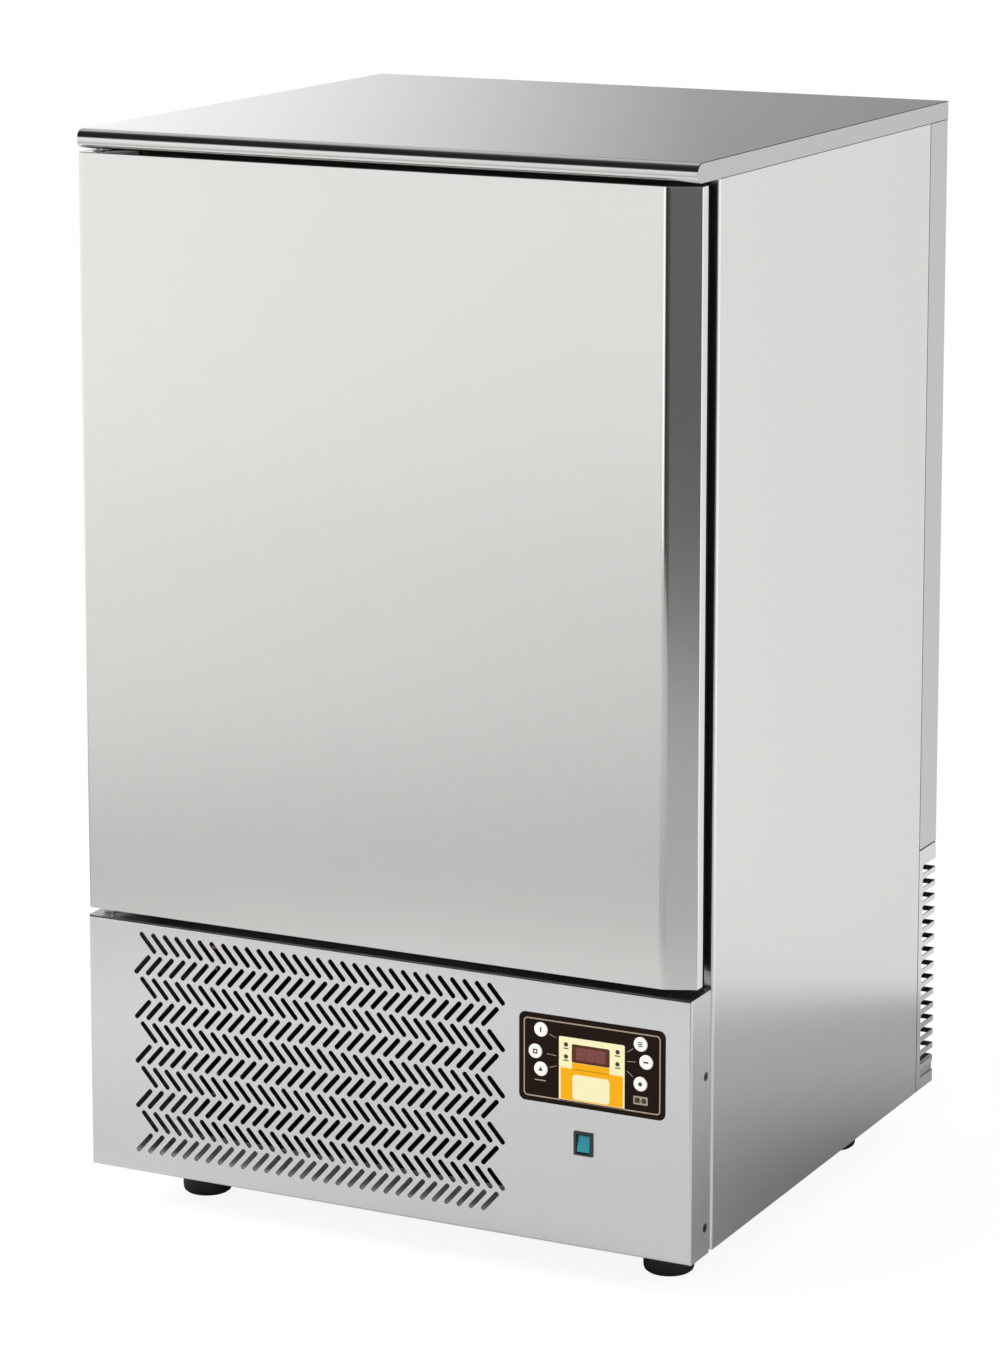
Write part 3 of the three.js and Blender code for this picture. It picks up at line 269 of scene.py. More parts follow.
print_dark = finish("print_dark", (0.035, 0.025, 0.020), 0.42, 0.0, (900, 900, 900), 0.1, 0.05, 0.03)
window_red = finish("window_red", (0.085, 0.020, 0.008), 0.16, 0.0, (300, 300, 300), 0.05, 0.02, 0.0,
                    **{"Specular IOR Level": 0.25})
diffuser_red = finish("diffuser_red", (0.15, 0.034, 0.028), 0.30, 0.0, (500, 500, 500), 0.06, 0.03, 0.02)
digit_red = finish("digit_red", (0.19, 0.050, 0.046), 0.30, 0.0, (500, 500, 500), 0.05, 0.03, 0.02)
button_cap = finish("button_cap", (0.86, 0.85, 0.80), 0.4, 0.0, (600, 600, 600), 0.02, 0.05, 0.05)
rocker_teal = finish("rocker_teal", (0.012, 0.21, 0.27), 0.3, 0.0, (400, 400, 400), 0.06, 0.05, 0.03)
fin_aluminium = finish("fin_aluminium", (0.62, 0.64, 0.66), 0.38, 1.0, (40, 200, 40), 0.08, 0.08, 0.1)
# painted shade: black for the condenser's aluminium fins, so the depth behind the grille looks dark
fin_black_painted_shade = finish("fin_black_painted_shade", (0.012, 0.012, 0.013), 0.5, 0.0, (40, 200, 40), 0.1, 0.08, 0.1)
black_enamel = finish("black_enamel", (0.020, 0.020, 0.022), 0.3, 0.0, (250, 250, 250), 0.1, 0.06, 0.12)
copper_tube = finish("copper_tube", (0.75, 0.38, 0.24), 0.28, 1.0, (120, 120, 120), 0.12, 0.1, 0.05)
nylon = finish("nylon", (0.83, 0.82, 0.76), 0.45, 0.0, (500, 500, 500), 0.02, 0.05, 0.05)
grey_plastic = finish("grey_plastic", (0.42, 0.44, 0.45), 0.5, 0.0, (800, 800, 800), 0.04, 0.05, 0.15)

SLOT_FINISH = {
    "steel_sheet": brushed_side, "liner_steel": liner_steel, "galvanised": galvanised,
    "foam": foam_fill, "black_plastic": black_plastic, "black_rubber": black_rubber,
    "fascia_brown": fascia_film, "display_window": window_red, "button_white": button_cap,
    "rocker_teal": rocker_teal, "fin_aluminium": fin_aluminium, "black_paint": black_enamel,
    "copper": copper_tube, "nylon": nylon, "grey_box": grey_plastic, "bright_steel": bright_steel,
}
SLOT_OF = {p["node"]: p["material_slot"] for p in frame["record"]["subparts"]}


def dress_node(node):
    """Gives a CAD node the finish of its slot without touching its mesh."""
    material = SLOT_FINISH[SLOT_OF[node]]
    places = cad_nodes[node].material_slots
    for place in places:
        place.material = material
    if not places:
        cad_nodes[node].data.materials.append(material)


for node_name in SLOT_OF:
    dress_node(node_name)


# ---------------------------------------------------------------- shapes, in millimetres

FRONT, BACK, RIGHT, LEFT, UP = (0, -1, 0), (0, 1, 0), (1, 0, 0), (-1, 0, 0), (0, 0, 1)


def span(node):
    """A CAD node's lowest and highest corner, in millimetres."""
    return [[round(value / MM, 2) for value in corner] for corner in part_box(node)]


def centre_of(node):
    return [(low + high) / 2 for low, high in zip(*span(node))]


def depths_of(node):
    """Where a CAD node starts and ends, from the front to the back."""
    low, high = span(node)
    return low[1], high[1]


def front_of(node):
    """A CAD node as seen from the front: its left, right, lower and upper end."""
    low, high = span(node)
    return low[0], high[0], low[2], high[2]


def at(place, way=UP):
    """Takes a shape that stands on the origin to a place, its height turned to a way."""
    turn = Vector(UP).rotation_difference(Vector(way)).to_matrix().to_4x4()
    return Matrix.Translation(place) @ turn


def put(bm, part, matrix=Matrix(), material=0):
    """Adds a part to a shape at a place, with one of the piece's finishes; the part is used up."""
    for face in part.faces:
        face.material_index = material
    part.transform(matrix)
    shelf = bpy.data.meshes.new("shelf")
    part.to_mesh(shelf)
    part.free()
    bm.from_mesh(shelf)
    bpy.data.meshes.remove(shelf)


def placed(part, place, way=UP):
    """A part that stands on the origin, as a shape of its own at a place."""
    bm = bmesh.new()
    put(bm, part, at(place, way))
    return bm


def together(*parts):
    """Several parts as one shape; a part given as (part, material) has that finish of the piece."""
    bm = bmesh.new()
    for part in parts:
        part, material = part if isinstance(part, tuple) else (part, 0)
        put(bm, part, material=material)
    return bm


def round_edges(bm, edges, size, steps=2):
    bmesh.ops.bevel(bm, geom=list(edges), offset=size, segments=steps, profile=0.5,
                    affect="EDGES", material=-1, clamp_overlap=True)
    return bm


def edges_at(bm, **planes):
    """Edges that lie on all of the given planes, such as x=395."""
    wanted = [("xyz".index(axis), value) for axis, value in planes.items()]
    return [e for e in bm.edges if all(abs(v.co[i] - value) < 0.01 for v in e.verts for i, value in wanted)]


def faces_at(bm, y):
    """Faces that lie at a depth."""
    return [f for f in bm.faces if all(abs(v.co.y - y) < 0.01 for v in f.verts)]


def sharp_edges(bm, angle=30):
    limit = math.radians(angle)
    return [e for e in bm.edges if e.is_manifold and e.calc_face_angle(0) > limit]


def box(low, high, edge=0.0, steps=2):
    bm = bmesh.new()
    bmesh.ops.create_cube(bm, size=1)
    bmesh.ops.scale(bm, vec=[b - a for a, b in zip(low, high)], verts=bm.verts)
    bmesh.ops.translate(bm, vec=[(a + b) / 2 for a, b in zip(low, high)], verts=bm.verts)
    return round_edges(bm, bm.edges, edge, steps) if edge else bm


def flat(corners, radius=0.0, steps=6):
    """One flat face through corners, each rounded."""
    bm = bmesh.new()
    bm.faces.new([bm.verts.new(corner) for corner in corners])
    bm.normal_update()
    if radius:
        bmesh.ops.bevel(bm, geom=bm.verts[:], offset=radius, segments=steps, profile=0.5,
                        affect="VERTICES", material=-1)
    return bm


def front_corners(x0, x1, z0, z1, y):
    return [(x0, y, z0), (x1, y, z0), (x1, y, z1), (x0, y, z1)]


def circle(radius, place, steps=64):
    """A round flat face that faces the front."""
    bm = bmesh.new()
    bmesh.ops.create_circle(bm, cap_ends=True, segments=steps, radius=radius, matrix=at(place, FRONT))
    return bm


def loop_edges(bm, part):
    """Adds the outline of a flat part to a shape and returns its edges."""
    before = set(bm.edges)
    bmesh.ops.delete(part, geom=part.faces[:], context="FACES_ONLY")
    put(bm, part)
    return [e for e in bm.edges if e not in before]


def outline(bm, x0, x1, z0, z1, y, radius=0.0, steps=6):
    """Adds the outline of a rectangle that faces the front to a sheet and returns its edges."""
    return loop_edges(bm, flat(front_corners(x0, x1, z0, z1, y), radius, steps))


def fill_outlines(bm, way=FRONT):
    """Fills a sheet in its outermost outline, with the outlines in it left as holes."""
    bmesh.ops.triangle_fill(bm, use_beauty=True, use_dissolve=False, edges=bm.edges[:], normal=way)


def grown(bm, edges):
    """Extrudes edges, and returns the new corners and the edges between them."""
    made = bmesh.ops.extrude_edge_only(bm, edges=edges)["geom"]
    corners = [g for g in made if isinstance(g, bmesh.types.BMVert)]
    far = [g for g in made if isinstance(g, bmesh.types.BMEdge) and all(v in corners for v in g.verts)]
    return corners, far


def roll_mouth(bm, ring, middle, steps):
    """Rolls the rim of a round hole that faces the front through (radius, depth) steps."""
    x, y, z = middle
    for radius, back in steps:
        corners, ring = grown(bm, ring)
        for corner in corners:
            out = Vector((corner.co.x - x, corner.co.z - z)).normalized() * radius
            corner.co = (x + out.x, y + back, z + out.y)


def fold_rim(bm, rim, middle, half, y, steps):
    """Folds the rim of a flat sheet at depth y, of a half size, through (outward, depth) steps."""
    reach = 0.0
    for out, back in steps:
        corners, rim = grown(bm, rim)
        scale = [(h + out) / (h + reach) if h else 1 for h in half]
        bmesh.ops.scale(bm, vec=scale, verts=corners, space=Matrix.Translation(-Vector(middle)))
        for corner in corners:
            corner.co.y = y + back
        reach = out


def turned_sheet(bm, y, way):
    """Makes the faces agree and the sheet at a depth face a way; returns that sheet."""
    bmesh.ops.recalc_face_normals(bm, faces=bm.faces)
    sheet = faces_at(bm, y)[0]
    if sheet.normal.dot(Vector(way)) < 0:
        bmesh.ops.reverse_faces(bm, faces=bm.faces)
    return sheet


def thick(bm, depth):
    """Gives a face or sheet a thickness away from the side it faces."""
    bmesh.ops.solidify(bm, geom=bm.faces[:], thickness=depth)
    return bm


def plate(x0, x1, z0, z1, front, back, radius, edge=0.0, steps=6):
    """A plate that faces the front, with rounded corners and a rounded front rim."""
    bm = thick(flat(front_corners(x0, x1, z0, z1, front), radius, steps), back - front)
    if edge:
        round_edges(bm, [e for e in edges_at(bm, y=front) if len(e.link_faces) == 2], edge)
    return bm


def spun(profile, steps):
    """A profile of (radius, height) turned about the upright axis."""
    bm = bmesh.new()
    line = [bm.verts.new((radius, 0, height)) for radius, height in profile]
    edges = [bm.edges.new(pair) for pair in zip(line, line[1:])]
    bmesh.ops.spin(bm, geom=line + edges, cent=(0, 0, 0), axis=UP, angle=2 * math.pi, steps=steps,
                   use_merge=True)
    bmesh.ops.remove_doubles(bm, verts=bm.verts, dist=0.001)
    bmesh.ops.recalc_face_normals(bm, faces=bm.faces)
    return bm


def hoop(radius, wire, steps=56, sides=6):
    """A wire ring about the upright axis."""
    bm = bmesh.new()
    section = Matrix.Translation((radius, 0, 0)) @ Matrix.Rotation(math.pi / 2, 4, "X")
    bmesh.ops.create_circle(bm, cap_ends=False, segments=sides, radius=wire, matrix=section)
    bmesh.ops.spin(bm, geom=bm.verts[:] + bm.edges[:], cent=(0, 0, 0), axis=UP, angle=2 * math.pi,
                   steps=steps, use_merge=True)
    bmesh.ops.recalc_face_normals(bm, faces=bm.faces)
    return bm


def shown_object(name, data):
    made = bpy.data.objects.new(name, data)
    bpy.context.scene.collection.objects.link(made)
    return made


def settled(made, *helpers):
    """The mesh that an object's curve or modifiers give, as a shape; the objects are cleared away."""
    bpy.context.view_layer.update()
    mesh = bpy.data.meshes.new_from_object(made.evaluated_get(bpy.context.evaluated_depsgraph_get()))
    bm = bmesh.new()
    bm.from_mesh(mesh)
    bpy.data.meshes.remove(mesh)
    for spent in (made, *helpers):
        bpy.data.objects.remove(spent)
    return bm


def carved(bm, tool):
    """A shape with another taken from it."""
    objects = []
    for name, shape in (("whole", bm), ("tool", tool)):
        mesh = bpy.data.meshes.new(name)
        shape.to_mesh(mesh)
        shape.free()
        objects.append(shown_object(name, mesh))
    cut = objects[0].modifiers.new("cut", "BOOLEAN")
    cut.operation = "DIFFERENCE"
    cut.solver = "EXACT"
    cut.object = objects[1]
    return settled(*objects)


def rod(points, radius, bend=0.0, roundness=2):
    """A round rod or tube through points, each corner bent."""
    line = bmesh.new()
    corners = [line.verts.new(p) for p in points]
    for pair in zip(corners, corners[1:]):
        line.edges.new(pair)
    if bend and len(points) > 2:
        bmesh.ops.bevel(line, geom=corners[1:-1], offset=bend, segments=5, profile=0.5,
                        affect="VERTICES", material=-1, clamp_overlap=True)
    here = min(line.verts, key=lambda v: (v.co - Vector(points[0])).length)
    route, edge = [here.co.copy()], here.link_edges[0]
    while edge:
        here = edge.other_vert(here)
        route.append(here.co.copy())
        edge = next((e for e in here.link_edges if e is not edge), None)
    line.free()
    curve = bpy.data.curves.new("rod", "CURVE")
    curve.dimensions = "3D"
    curve.bevel_depth = radius
    curve.bevel_resolution = roundness
    curve.use_fill_caps = True
    spline = curve.splines.new("POLY")
    spline.points.add(len(route) - 1)
    for point, place in zip(spline.points, route):
        point.co = (*place, 1)
    bm = settled(shown_object("rod", curve))
    bmesh.ops.remove_doubles(bm, verts=bm.verts, dist=0.001)
    bmesh.ops.recalc_face_normals(bm, faces=bm.faces)
    return bm


def folded(points, low, high, folds):
    """A sheet along points in plan, its outside on the right of their way, with (place, radius) folds."""
    bm = bmesh.new()
    line = [bm.verts.new((x, y, low)) for x, y in points]
    edges = [bm.edges.new(pair) for pair in zip(line, line[1:])]
    risen, _ = grown(bm, edges)
    bmesh.ops.translate(bm, vec=(0, 0, high - low), verts=risen)
    bm.normal_update()
    way = Vector(points[1]) - Vector(points[0])
    if edges[0].link_faces[0].normal.xy.dot(Vector((way.y, -way.x))) < 0:
        bmesh.ops.reverse_faces(bm, faces=bm.faces)
    for (x, y), radius in folds:
        round_edges(bm, edges_at(bm, x=x, y=y), radius, 6)
    return bm


def cad_copy(node):
    """A CAD node's shape with its loose triangles merged into faces."""
    bm = bmesh.new()
    bm.from_mesh(cad_nodes[node].data)
    bmesh.ops.remove_doubles(bm, verts=bm.verts, dist=0.00002)
    bmesh.ops.scale(bm, vec=(1 / MM,) * 3, verts=bm.verts)
    bmesh.ops.dissolve_limit(bm, angle_limit=math.radians(1), verts=bm.verts, edges=bm.edges)
    return bm


def screw_head(radius):
    """A low countersunk head with a cross recess, its face at height 0."""
    head = spun([(0, -1.2), (radius * 0.6, -1.2), (radius, -0.15), (radius * 0.93, 0), (0, 0)], 20)
    arm, width = radius * 0.52, radius * 0.14
    for long_x, long_y in ((arm, width), (width, arm)):
        head = carved(head, box((-long_x, -long_y, -0.8), (long_x, long_y, 1)))
    return head


SHARP_ANGLE = math.radians(35)


def piece(name, bm, finishes, body, node=None, wall=0.0):
    """Makes a shape a piece of the machine that rides on a body.

    It may stand for a CAD node, which is then hidden.
    """
    bmesh.ops.scale(bm, vec=(MM, MM, MM), verts=bm.verts)
    for face in bm.faces:
        face.smooth = True
    mesh = bpy.data.meshes.new(name)
    bm.to_mesh(mesh)
    bm.free()
    mesh.set_sharp_from_angle(angle=SHARP_ANGLE)
    for material in finishes if isinstance(finishes, (list, tuple)) else [finishes]:
        mesh.materials.append(material)
    made = shown_object(name, mesh)
    if wall:
        sheet = made.modifiers.new("wall", "SOLIDIFY")
        sheet.thickness = wall * MM
        sheet.offset = -1
        sheet.use_even_offset = True
    made.modifiers.new("shading", "WEIGHTED_NORMAL").keep_sharp = True
    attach(made, body)
    if node:
        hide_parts(node)


def refined(node, body, edge, angle=30):
    """Stands a copy of a CAD node, with its sharp edges softened, in the node's place."""
    bm = cad_copy(node)
    round_edges(bm, sharp_edges(bm, angle), edge)
    piece(node + "_shape", bm, SLOT_FINISH[SLOT_OF[node]], body, node)


# ---------------------------------------------------------------- outer sheets

(_, FRONT_Y, WORKTOP_Z), (SIDE_X, BACK_Y, TOP_Z) = span("worktop")
(FLANGE_X, CABINET_Y, BODY_Z), (_, SIDE_END_Y, CARCASS_TOP_Z) = span("side_panel_right")
NOSE_RADIUS = 11.45
SHEET = 1.5
PAST_BACK_Y = BACK_Y + 5.5  # where the tools that cut the back's slots end


def make_worktop():
    bm = box((-SIDE_X, FRONT_Y, WORKTOP_Z), (SIDE_X, BACK_Y, TOP_Z))
    nose = edges_at(bm, y=FRONT_Y, z=WORKTOP_Z) + edges_at(bm, y=FRONT_Y, z=TOP_Z)
    round_edges(bm, nose, NOSE_RADIUS, 10)
    ends = [e for e in sharp_edges(bm, 60) if all(abs(abs(v.co.x) - SIDE_X) < 0.01 for v in e.verts)]
    round_edges(bm, ends, 1.5, 3)
    round_edges(bm, sharp_edges(bm, 60), 0.8, 2)
    # the worktop's ends take the darker steel, as painted shade
    for face in bm.faces:
        face.material_index = 2 if abs(face.normal.x) > 0.7 else int(face.normal.y < -0.2)
    piece("worktop_sheet", bm, [brushed_top, brushed_fold, brushed_end_painted_shade], "cabinet", "worktop")


def make_side_panels():
    for name, side in (("right", 1), ("left", -1)):
        points = [(FLANGE_X, CABINET_Y), (SIDE_X, CABINET_Y), (SIDE_X, SIDE_END_Y)]
        bm = folded(points, BODY_Z, CARCASS_TOP_Z, [((SIDE_X, CABINET_Y), 4)])
        if side < 0:
            bmesh.ops.scale(bm, vec=(-1, 1, 1), verts=bm.verts)
            bmesh.ops.reverse_faces(bm, faces=bm.faces)
        piece(f"side_sheet_{name}", bm, brushed_side, "cabinet", f"side_panel_{name}", wall=SHEET)


def rear_sheet(node):
    """The folded sheet of a rear cover."""
    (_, end_y, low), (_, _, high) = span(node)
    points = [(SIDE_X, end_y), (SIDE_X, BACK_Y), (-SIDE_X, BACK_Y), (-SIDE_X, end_y)]
    folds = [((SIDE_X, BACK_Y), 3), ((-SIDE_X, BACK_Y), 3)]
    return thick(folded(points, low, high, folds), SHEET)


SUNK = 0.15  # a screw's head lies this far under the face of its sheet


def screws(places, way, radius):
    """Countersunk screws at places on a sheet, and the holes they sit in."""
    heads, holes = bmesh.new(), bmesh.new()
    for place in places:
        put(heads, screw_head(radius), at(Vector(place) - Vector(way) * SUNK, way))
        put(holes, spun([(0, -4), (radius + 0.5, -4), (radius + 0.5, 4), (0, 4)], 24), at(place, way))
    return heads, holes


def make_back_panel():
    places = [(x, BACK_Y, z) for x in (-372, -124, 124, 372) for z in (392, 1274)]
    places += [(x, BACK_Y, z) for x in (-372, 372) for z in (613, 833, 1053)]
    heads, holes = screws(places, BACK, 4)
    piece("back_sheet", carved(rear_sheet("back_panel"), holes), brushed_back, "cabinet", "back_panel")
    piece("back_screws", heads, screw_steel, "cabinet")


VENT_TOP, VENT_PITCH, VENT_ROWS, VENT_HEIGHT = 347.4, 17.8, 16, 11.5
VENT_NEAR_X, VENT_FAR_X = 14, 310
CORNER_VENT_X, CORNER_VENT_Y = 343, 332.5
BUSH_HOLE_RADIUS = 7.3
BUSH_X, _, BUSH_Z = centre_of("cable_grommet")
BUSH_PLACE = (BUSH_X, BACK_Y, BUSH_Z)


def rear_vents():
    """Rows of slots to cut: two in the back face, and one round each rear corner."""
    vents = bmesh.new()
    for row in range(VENT_ROWS):
        middle = VENT_TOP - row * VENT_PITCH
        low, high = middle - VENT_HEIGHT / 2, middle + VENT_HEIGHT / 2
        for side in (-1, 1):
            near, far = sorted((side * CORNER_VENT_X, side * 400))
            corner = box((near, CORNER_VENT_Y, low), (far, PAST_BACK_Y, high))
            ends = [edges_at(corner, y=CORNER_VENT_Y, z=z) + edges_at(corner, x=side * CORNER_VENT_X, z=z)
                    for z in (low, high)]
            put(vents, round_edges(corner, sum(ends, []), 3, 3))
            near, far = sorted((side * VENT_NEAR_X, side * VENT_FAR_X))
            slot = box((near, 366, low), (far, PAST_BACK_Y, high))
            ends = [edges_at(slot, x=x, z=z) for x in (near, far) for z in (low, high)]
            put(vents, round_edges(slot, sum(ends, []), 5, 3))
    return vents


def make_rear_lower_cover():
    vents = rear_vents()
    radius = BUSH_HOLE_RADIUS
    put(vents, spun([(0, -10), (radius, -10), (radius, 10), (0, 10)], 32), at(BUSH_PLACE, BACK))
    heads, holes = screws([(x, BACK_Y, z) for x in (-327, 327) for z in (90, 220, 350)], BACK, 4)
    put(vents, holes)
    sheet = carved(rear_sheet("rear_lower_cover"), vents)
    piece("rear_cover_sheet", sheet, brushed_side, "cabinet", "rear_lower_cover")
    piece("rear_cover_screws", heads, screw_steel, "cabinet")
    bush = spun([(3.5, -6.5), (9, -6.5), (9, -1.8), (7, -1.8), (7, -0.6), (6.4, 0), (4.1, 0),
                 (3.5, -0.6), (3.5, -6.5)], 32)
    piece("cable_bush", placed(bush, BUSH_PLACE, BACK), black_rubber, "cabinet", "cable_grommet")


def make_feet():
    profile = [
        (0, 0), (22, 0), (26, 0.6), (28.6, 2.6), (29.7, 5.4), (30, 9), (30, 22), (29.2, 29), (27, 33),
        (22, 35.6), (15, 37.5), (12, 39.5), (12, 59.7), (6, 59.7), (6, 79), (5, 80), (0, 80),
    ]
    for corner in ("front_left", "front_right", "rear_left", "rear_right"):
        node = f"foot_{corner}"
        x, y, _ = centre_of(node)
        piece(f"foot_pad_{corner}", placed(spun(profile, 48), (x, y, 0)), black_rubber, node, node)


make_worktop()
make_side_panels()
make_back_panel()
make_rear_lower_cover()
make_feet()


# ---------------------------------------------------------------- grille panel

SLOT_LENGTH, SLOT_WIDTH, SLOT_TILT = 31.5, 6, 48.6
SLOT_PITCH, ROW_PITCH, SLOT_ROWS, SLOTS_IN_ROW = 15.95, 27.6, 10, 30
FIRST_SLOT = (-312.7, 346)
PANEL_FOLD = 3.5
PANEL_END_Y, PANEL_TOP_Z = span("lower_front_panel")[1][1:]
FASCIA, FASCIA_CORNER = front_of("control_fascia"), 8
PLAY = 0.3  # round what sits in a hole
ROCKER_X, _, ROCKER_Z = centre_of("switch_rocker")
ROCKER_HOLE = (11, 13)  # half its width and height


def grille_slot(x, z, tilt):
    """The outline of one round-ended slot."""
    bm = bmesh.new()
    steps = 12
    start = Matrix.Rotation(math.pi / steps, 4, "Z")
    radius = SLOT_WIDTH / 2 / math.cos(math.pi / steps)
    bmesh.ops.create_circle(bm, cap_ends=True, segments=steps, radius=radius, matrix=start)
    for side in (-1, 1):
        end = [v for v in bm.verts if v.co.x * side > 0]
        bmesh.ops.translate(bm, vec=(side * (SLOT_LENGTH - SLOT_WIDTH) / 2, 0, 0), verts=end)
    upright = Matrix.Rotation(math.pi / 2, 4, "X") @ Matrix.Rotation(tilt, 4, "Z")
    bm.transform(Matrix.Translation((x, FRONT_Y, z)) @ upright)
    return bm


def grille_outlines(bm):
    """Adds the herringbone: rows of slots that lean the other way from row to row."""
    for row in range(SLOT_ROWS):
        falls_right = row % 2 == 0
        tilt = math.radians(-SLOT_TILT if falls_right else SLOT_TILT)
        shift = 0 if falls_right else -SLOT_PITCH / 2
        for number in range(SLOTS_IN_ROW):
            x = FIRST_SLOT[0] + shift + number * SLOT_PITCH
            loop_edges(bm, grille_slot(x, FIRST_SLOT[1] - row * ROW_PITCH, tilt))


def make_grille_panel():
    bm = bmesh.new()
    fold = PANEL_FOLD
    half = (SIDE_X - fold, 0, (PANEL_TOP_Z - BODY_Z) / 2 - fold)
    rim = outline(bm, -half[0], half[0], BODY_Z + fold, PANEL_TOP_Z - fold, FRONT_Y)
    grille_outlines(bm)
    x0, x1, z0, z1 = FASCIA
    outline(bm, x0 - PLAY, x1 + PLAY, z0 - PLAY, z1 + PLAY, FRONT_Y, FASCIA_CORNER + PLAY, 8)
    wide, tall = ROCKER_HOLE
    outline(bm, ROCKER_X - wide, ROCKER_X + wide, ROCKER_Z - tall, ROCKER_Z + tall, FRONT_Y)
    fill_outlines(bm)
    stages = [math.radians(angle) for angle in (22.5, 45, 67.5, 90)]
    steps = [(fold * math.sin(a), fold * (1 - math.cos(a))) for a in stages]
    steps += [(fold, PANEL_END_Y - FRONT_Y)]
    fold_rim(bm, rim, (0, 0, (BODY_Z + PANEL_TOP_Z) / 2), half, FRONT_Y, steps)
    turned_sheet(bm, FRONT_Y, FRONT)
    thick(bm, SHEET)
    heads, holes = bmesh.new(), bmesh.new()
    for side, way in ((1, RIGHT), (-1, LEFT)):
        side_heads, side_holes = screws([(side * SIDE_X, -336.5, z) for z in (93, 272)], way, 5)
        put(heads, side_heads)
        put(holes, side_holes)
    piece("grille_panel", carved(bm, holes), brushed_panel, "cabinet", "lower_front_panel")
    piece("grille_panel_screws", heads, screw_dark, "cabinet")


make_grille_panel()


# ---------------------------------------------------------------- controls

FASCIA_Y, FASCIA_BACK_Y = depths_of("control_fascia")
BUTTON_RADIUS = 8.6
BUTTON_BACK_Y = depths_of("button_left_top")[1]
BUTTONS = {name: centre_of(f"button_{name}")[::2] for name in (
    "left_top", "left_middle", "left_bottom", "right_top", "right_middle", "right_bottom")}
WINDOW = front_of("display_window")
WINDOW_Y, WINDOW_BACK_Y = depths_of("display_window")
CREAM, ORANGE, BEIGE, DARK = range(4)


def window_outline(bm, y):
    """Adds the outline of the window's hole, which the film and the print share."""
    x0, x1, z0, z1 = WINDOW
    outline(bm, x0 - PLAY, x1 + PLAY, z0 - PLAY, z1 + PLAY, y, 1.8, 3)


def make_fascia():
    bm = bmesh.new()
    outline(bm, *FASCIA, FASCIA_Y, FASCIA_CORNER, 8)
    window_outline(bm, FASCIA_Y)
    for x, z in BUTTONS.values():
        loop_edges(bm, circle(BUTTON_RADIUS + PLAY, (x, FASCIA_Y, z), 36))
    fill_outlines(bm)
    thick(bm, FASCIA_BACK_Y - FASCIA_Y)
    piece("fascia_plate", bm, fascia_film, "cabinet", "control_fascia")


def strip(x0, z0, x1, z1, width, height):
    """A straight printed line between two points of the fascia."""
    way = Vector((x1 - x0, 0, z1 - z0))
    bm = box((-way.length / 2, FASCIA_Y - height, -width / 2), (way.length / 2, FASCIA_Y, width / 2))
    turn = Matrix.Rotation(-math.atan2(way.z, way.x), 4, "Y")
    bm.transform(Matrix.Translation(((x0 + x1) / 2, 0, (z0 + z1) / 2)) @ turn)
    return bm


def printed(x0, x1, z0, z1, height, radius=0.0):
    """A printed patch on the fascia, with rounded corners."""
    return plate(x0, x1, z0, z1, FASCIA_Y - height, FASCIA_Y, radius)


def printed_ring(x0, x1, z0, z1, line, height, radius):
    """A printed outline on the fascia."""
    bm = bmesh.new()
    y = FASCIA_Y - height
    outline(bm, x0, x1, z0, z1, y, radius, 8)
    outline(bm, x0 + line, x1 - line, z0 + line, z1 - line, y, radius - line, 8)
    fill_outlines(bm)
    return thick(bm, height)


def sign(x, z):
    """A small round indicator with a bar under it."""
    dot = spun([(0, 0), (2.6, 0), (2.6, 0.3), (0, 0.3)], 20)
    return [(placed(dot, (x, FASCIA_Y, z + 0.8), FRONT), DARK),
            (printed(x - 3.2, x + 3.2, z - 4.3, z - 3.2, 0.3), DARK)]


LEADS = {  # where the thin line from each button ends, at the plate
    "left_top": (227, 305), "left_middle": (227, 284), "left_bottom": (227, 272),
    "right_top": (315.5, 301), "right_middle": (315.5, 290), "right_bottom": (315.5, 279),
}
SIGNS = ((239, 298.4), (239, 284.2), (303.7, 298.4), (303.7, 284.2))


def make_print():
    """The two-colour plate round the window, the border and the small marks."""
    x0, x1 = WINDOW[:2]
    base = bmesh.new()
    outline(base, 230.2, 312.6, 232.6, 308.2, FASCIA_Y - 0.1, 1.5, 3)
    window_outline(base, FASCIA_Y - 0.1)
    fill_outlines(base)
    parts = [
        (thick(base, 0.1), CREAM),
        (printed(232.4, 310.4, 234.4, 271.5, 0.2, 0.8), ORANGE),
        (printed(x0 + 0.1, x1 - 0.1, 271, 279, 0.2), ORANGE),
        (printed(247.4, 294.0, 235.6, 265.2, 0.3, 4.5), CREAM),
        (printed_ring(185.4, 357.2, 232.2, 325.2, 1.5, 0.1, 5), BEIGE),
        (strip(199.5, 252.4, 213.5, 252.4, 1.3, 0.1), BEIGE),
        (printed(323.6, 341.4, 241.4, 251.2, 0.1, 1.0), BEIGE),
        (printed(325.2, 331.6, 243.2, 249.4, 0.2, 0.6), DARK),
        (printed(333.4, 339.8, 243.2, 249.4, 0.2, 3.0), DARK),
    ]
    for x, z in SIGNS:
        parts += sign(x, z)
    for name, reach in LEADS.items():
        start = Vector(BUTTONS[name]).lerp(Vector(reach), 0.55)
        parts += [(strip(*start, *reach, 0.7, 0.1), BEIGE)]
    piece("fascia_print", together(*parts), [print_cream, print_orange, print_beige, print_dark],
          "cabinet")


COVER, FIELD, FIGURE = range(3)
SEGMENTS = [  # the bars of one figure: x, z and turn in degrees
    (0, 6, 0), (0, 0, 0), (0, -6, 0), (-3.2, 3, 90), (3.2, 3, 90), (-3.2, -3, 90), (3.2, -3, 90),
]


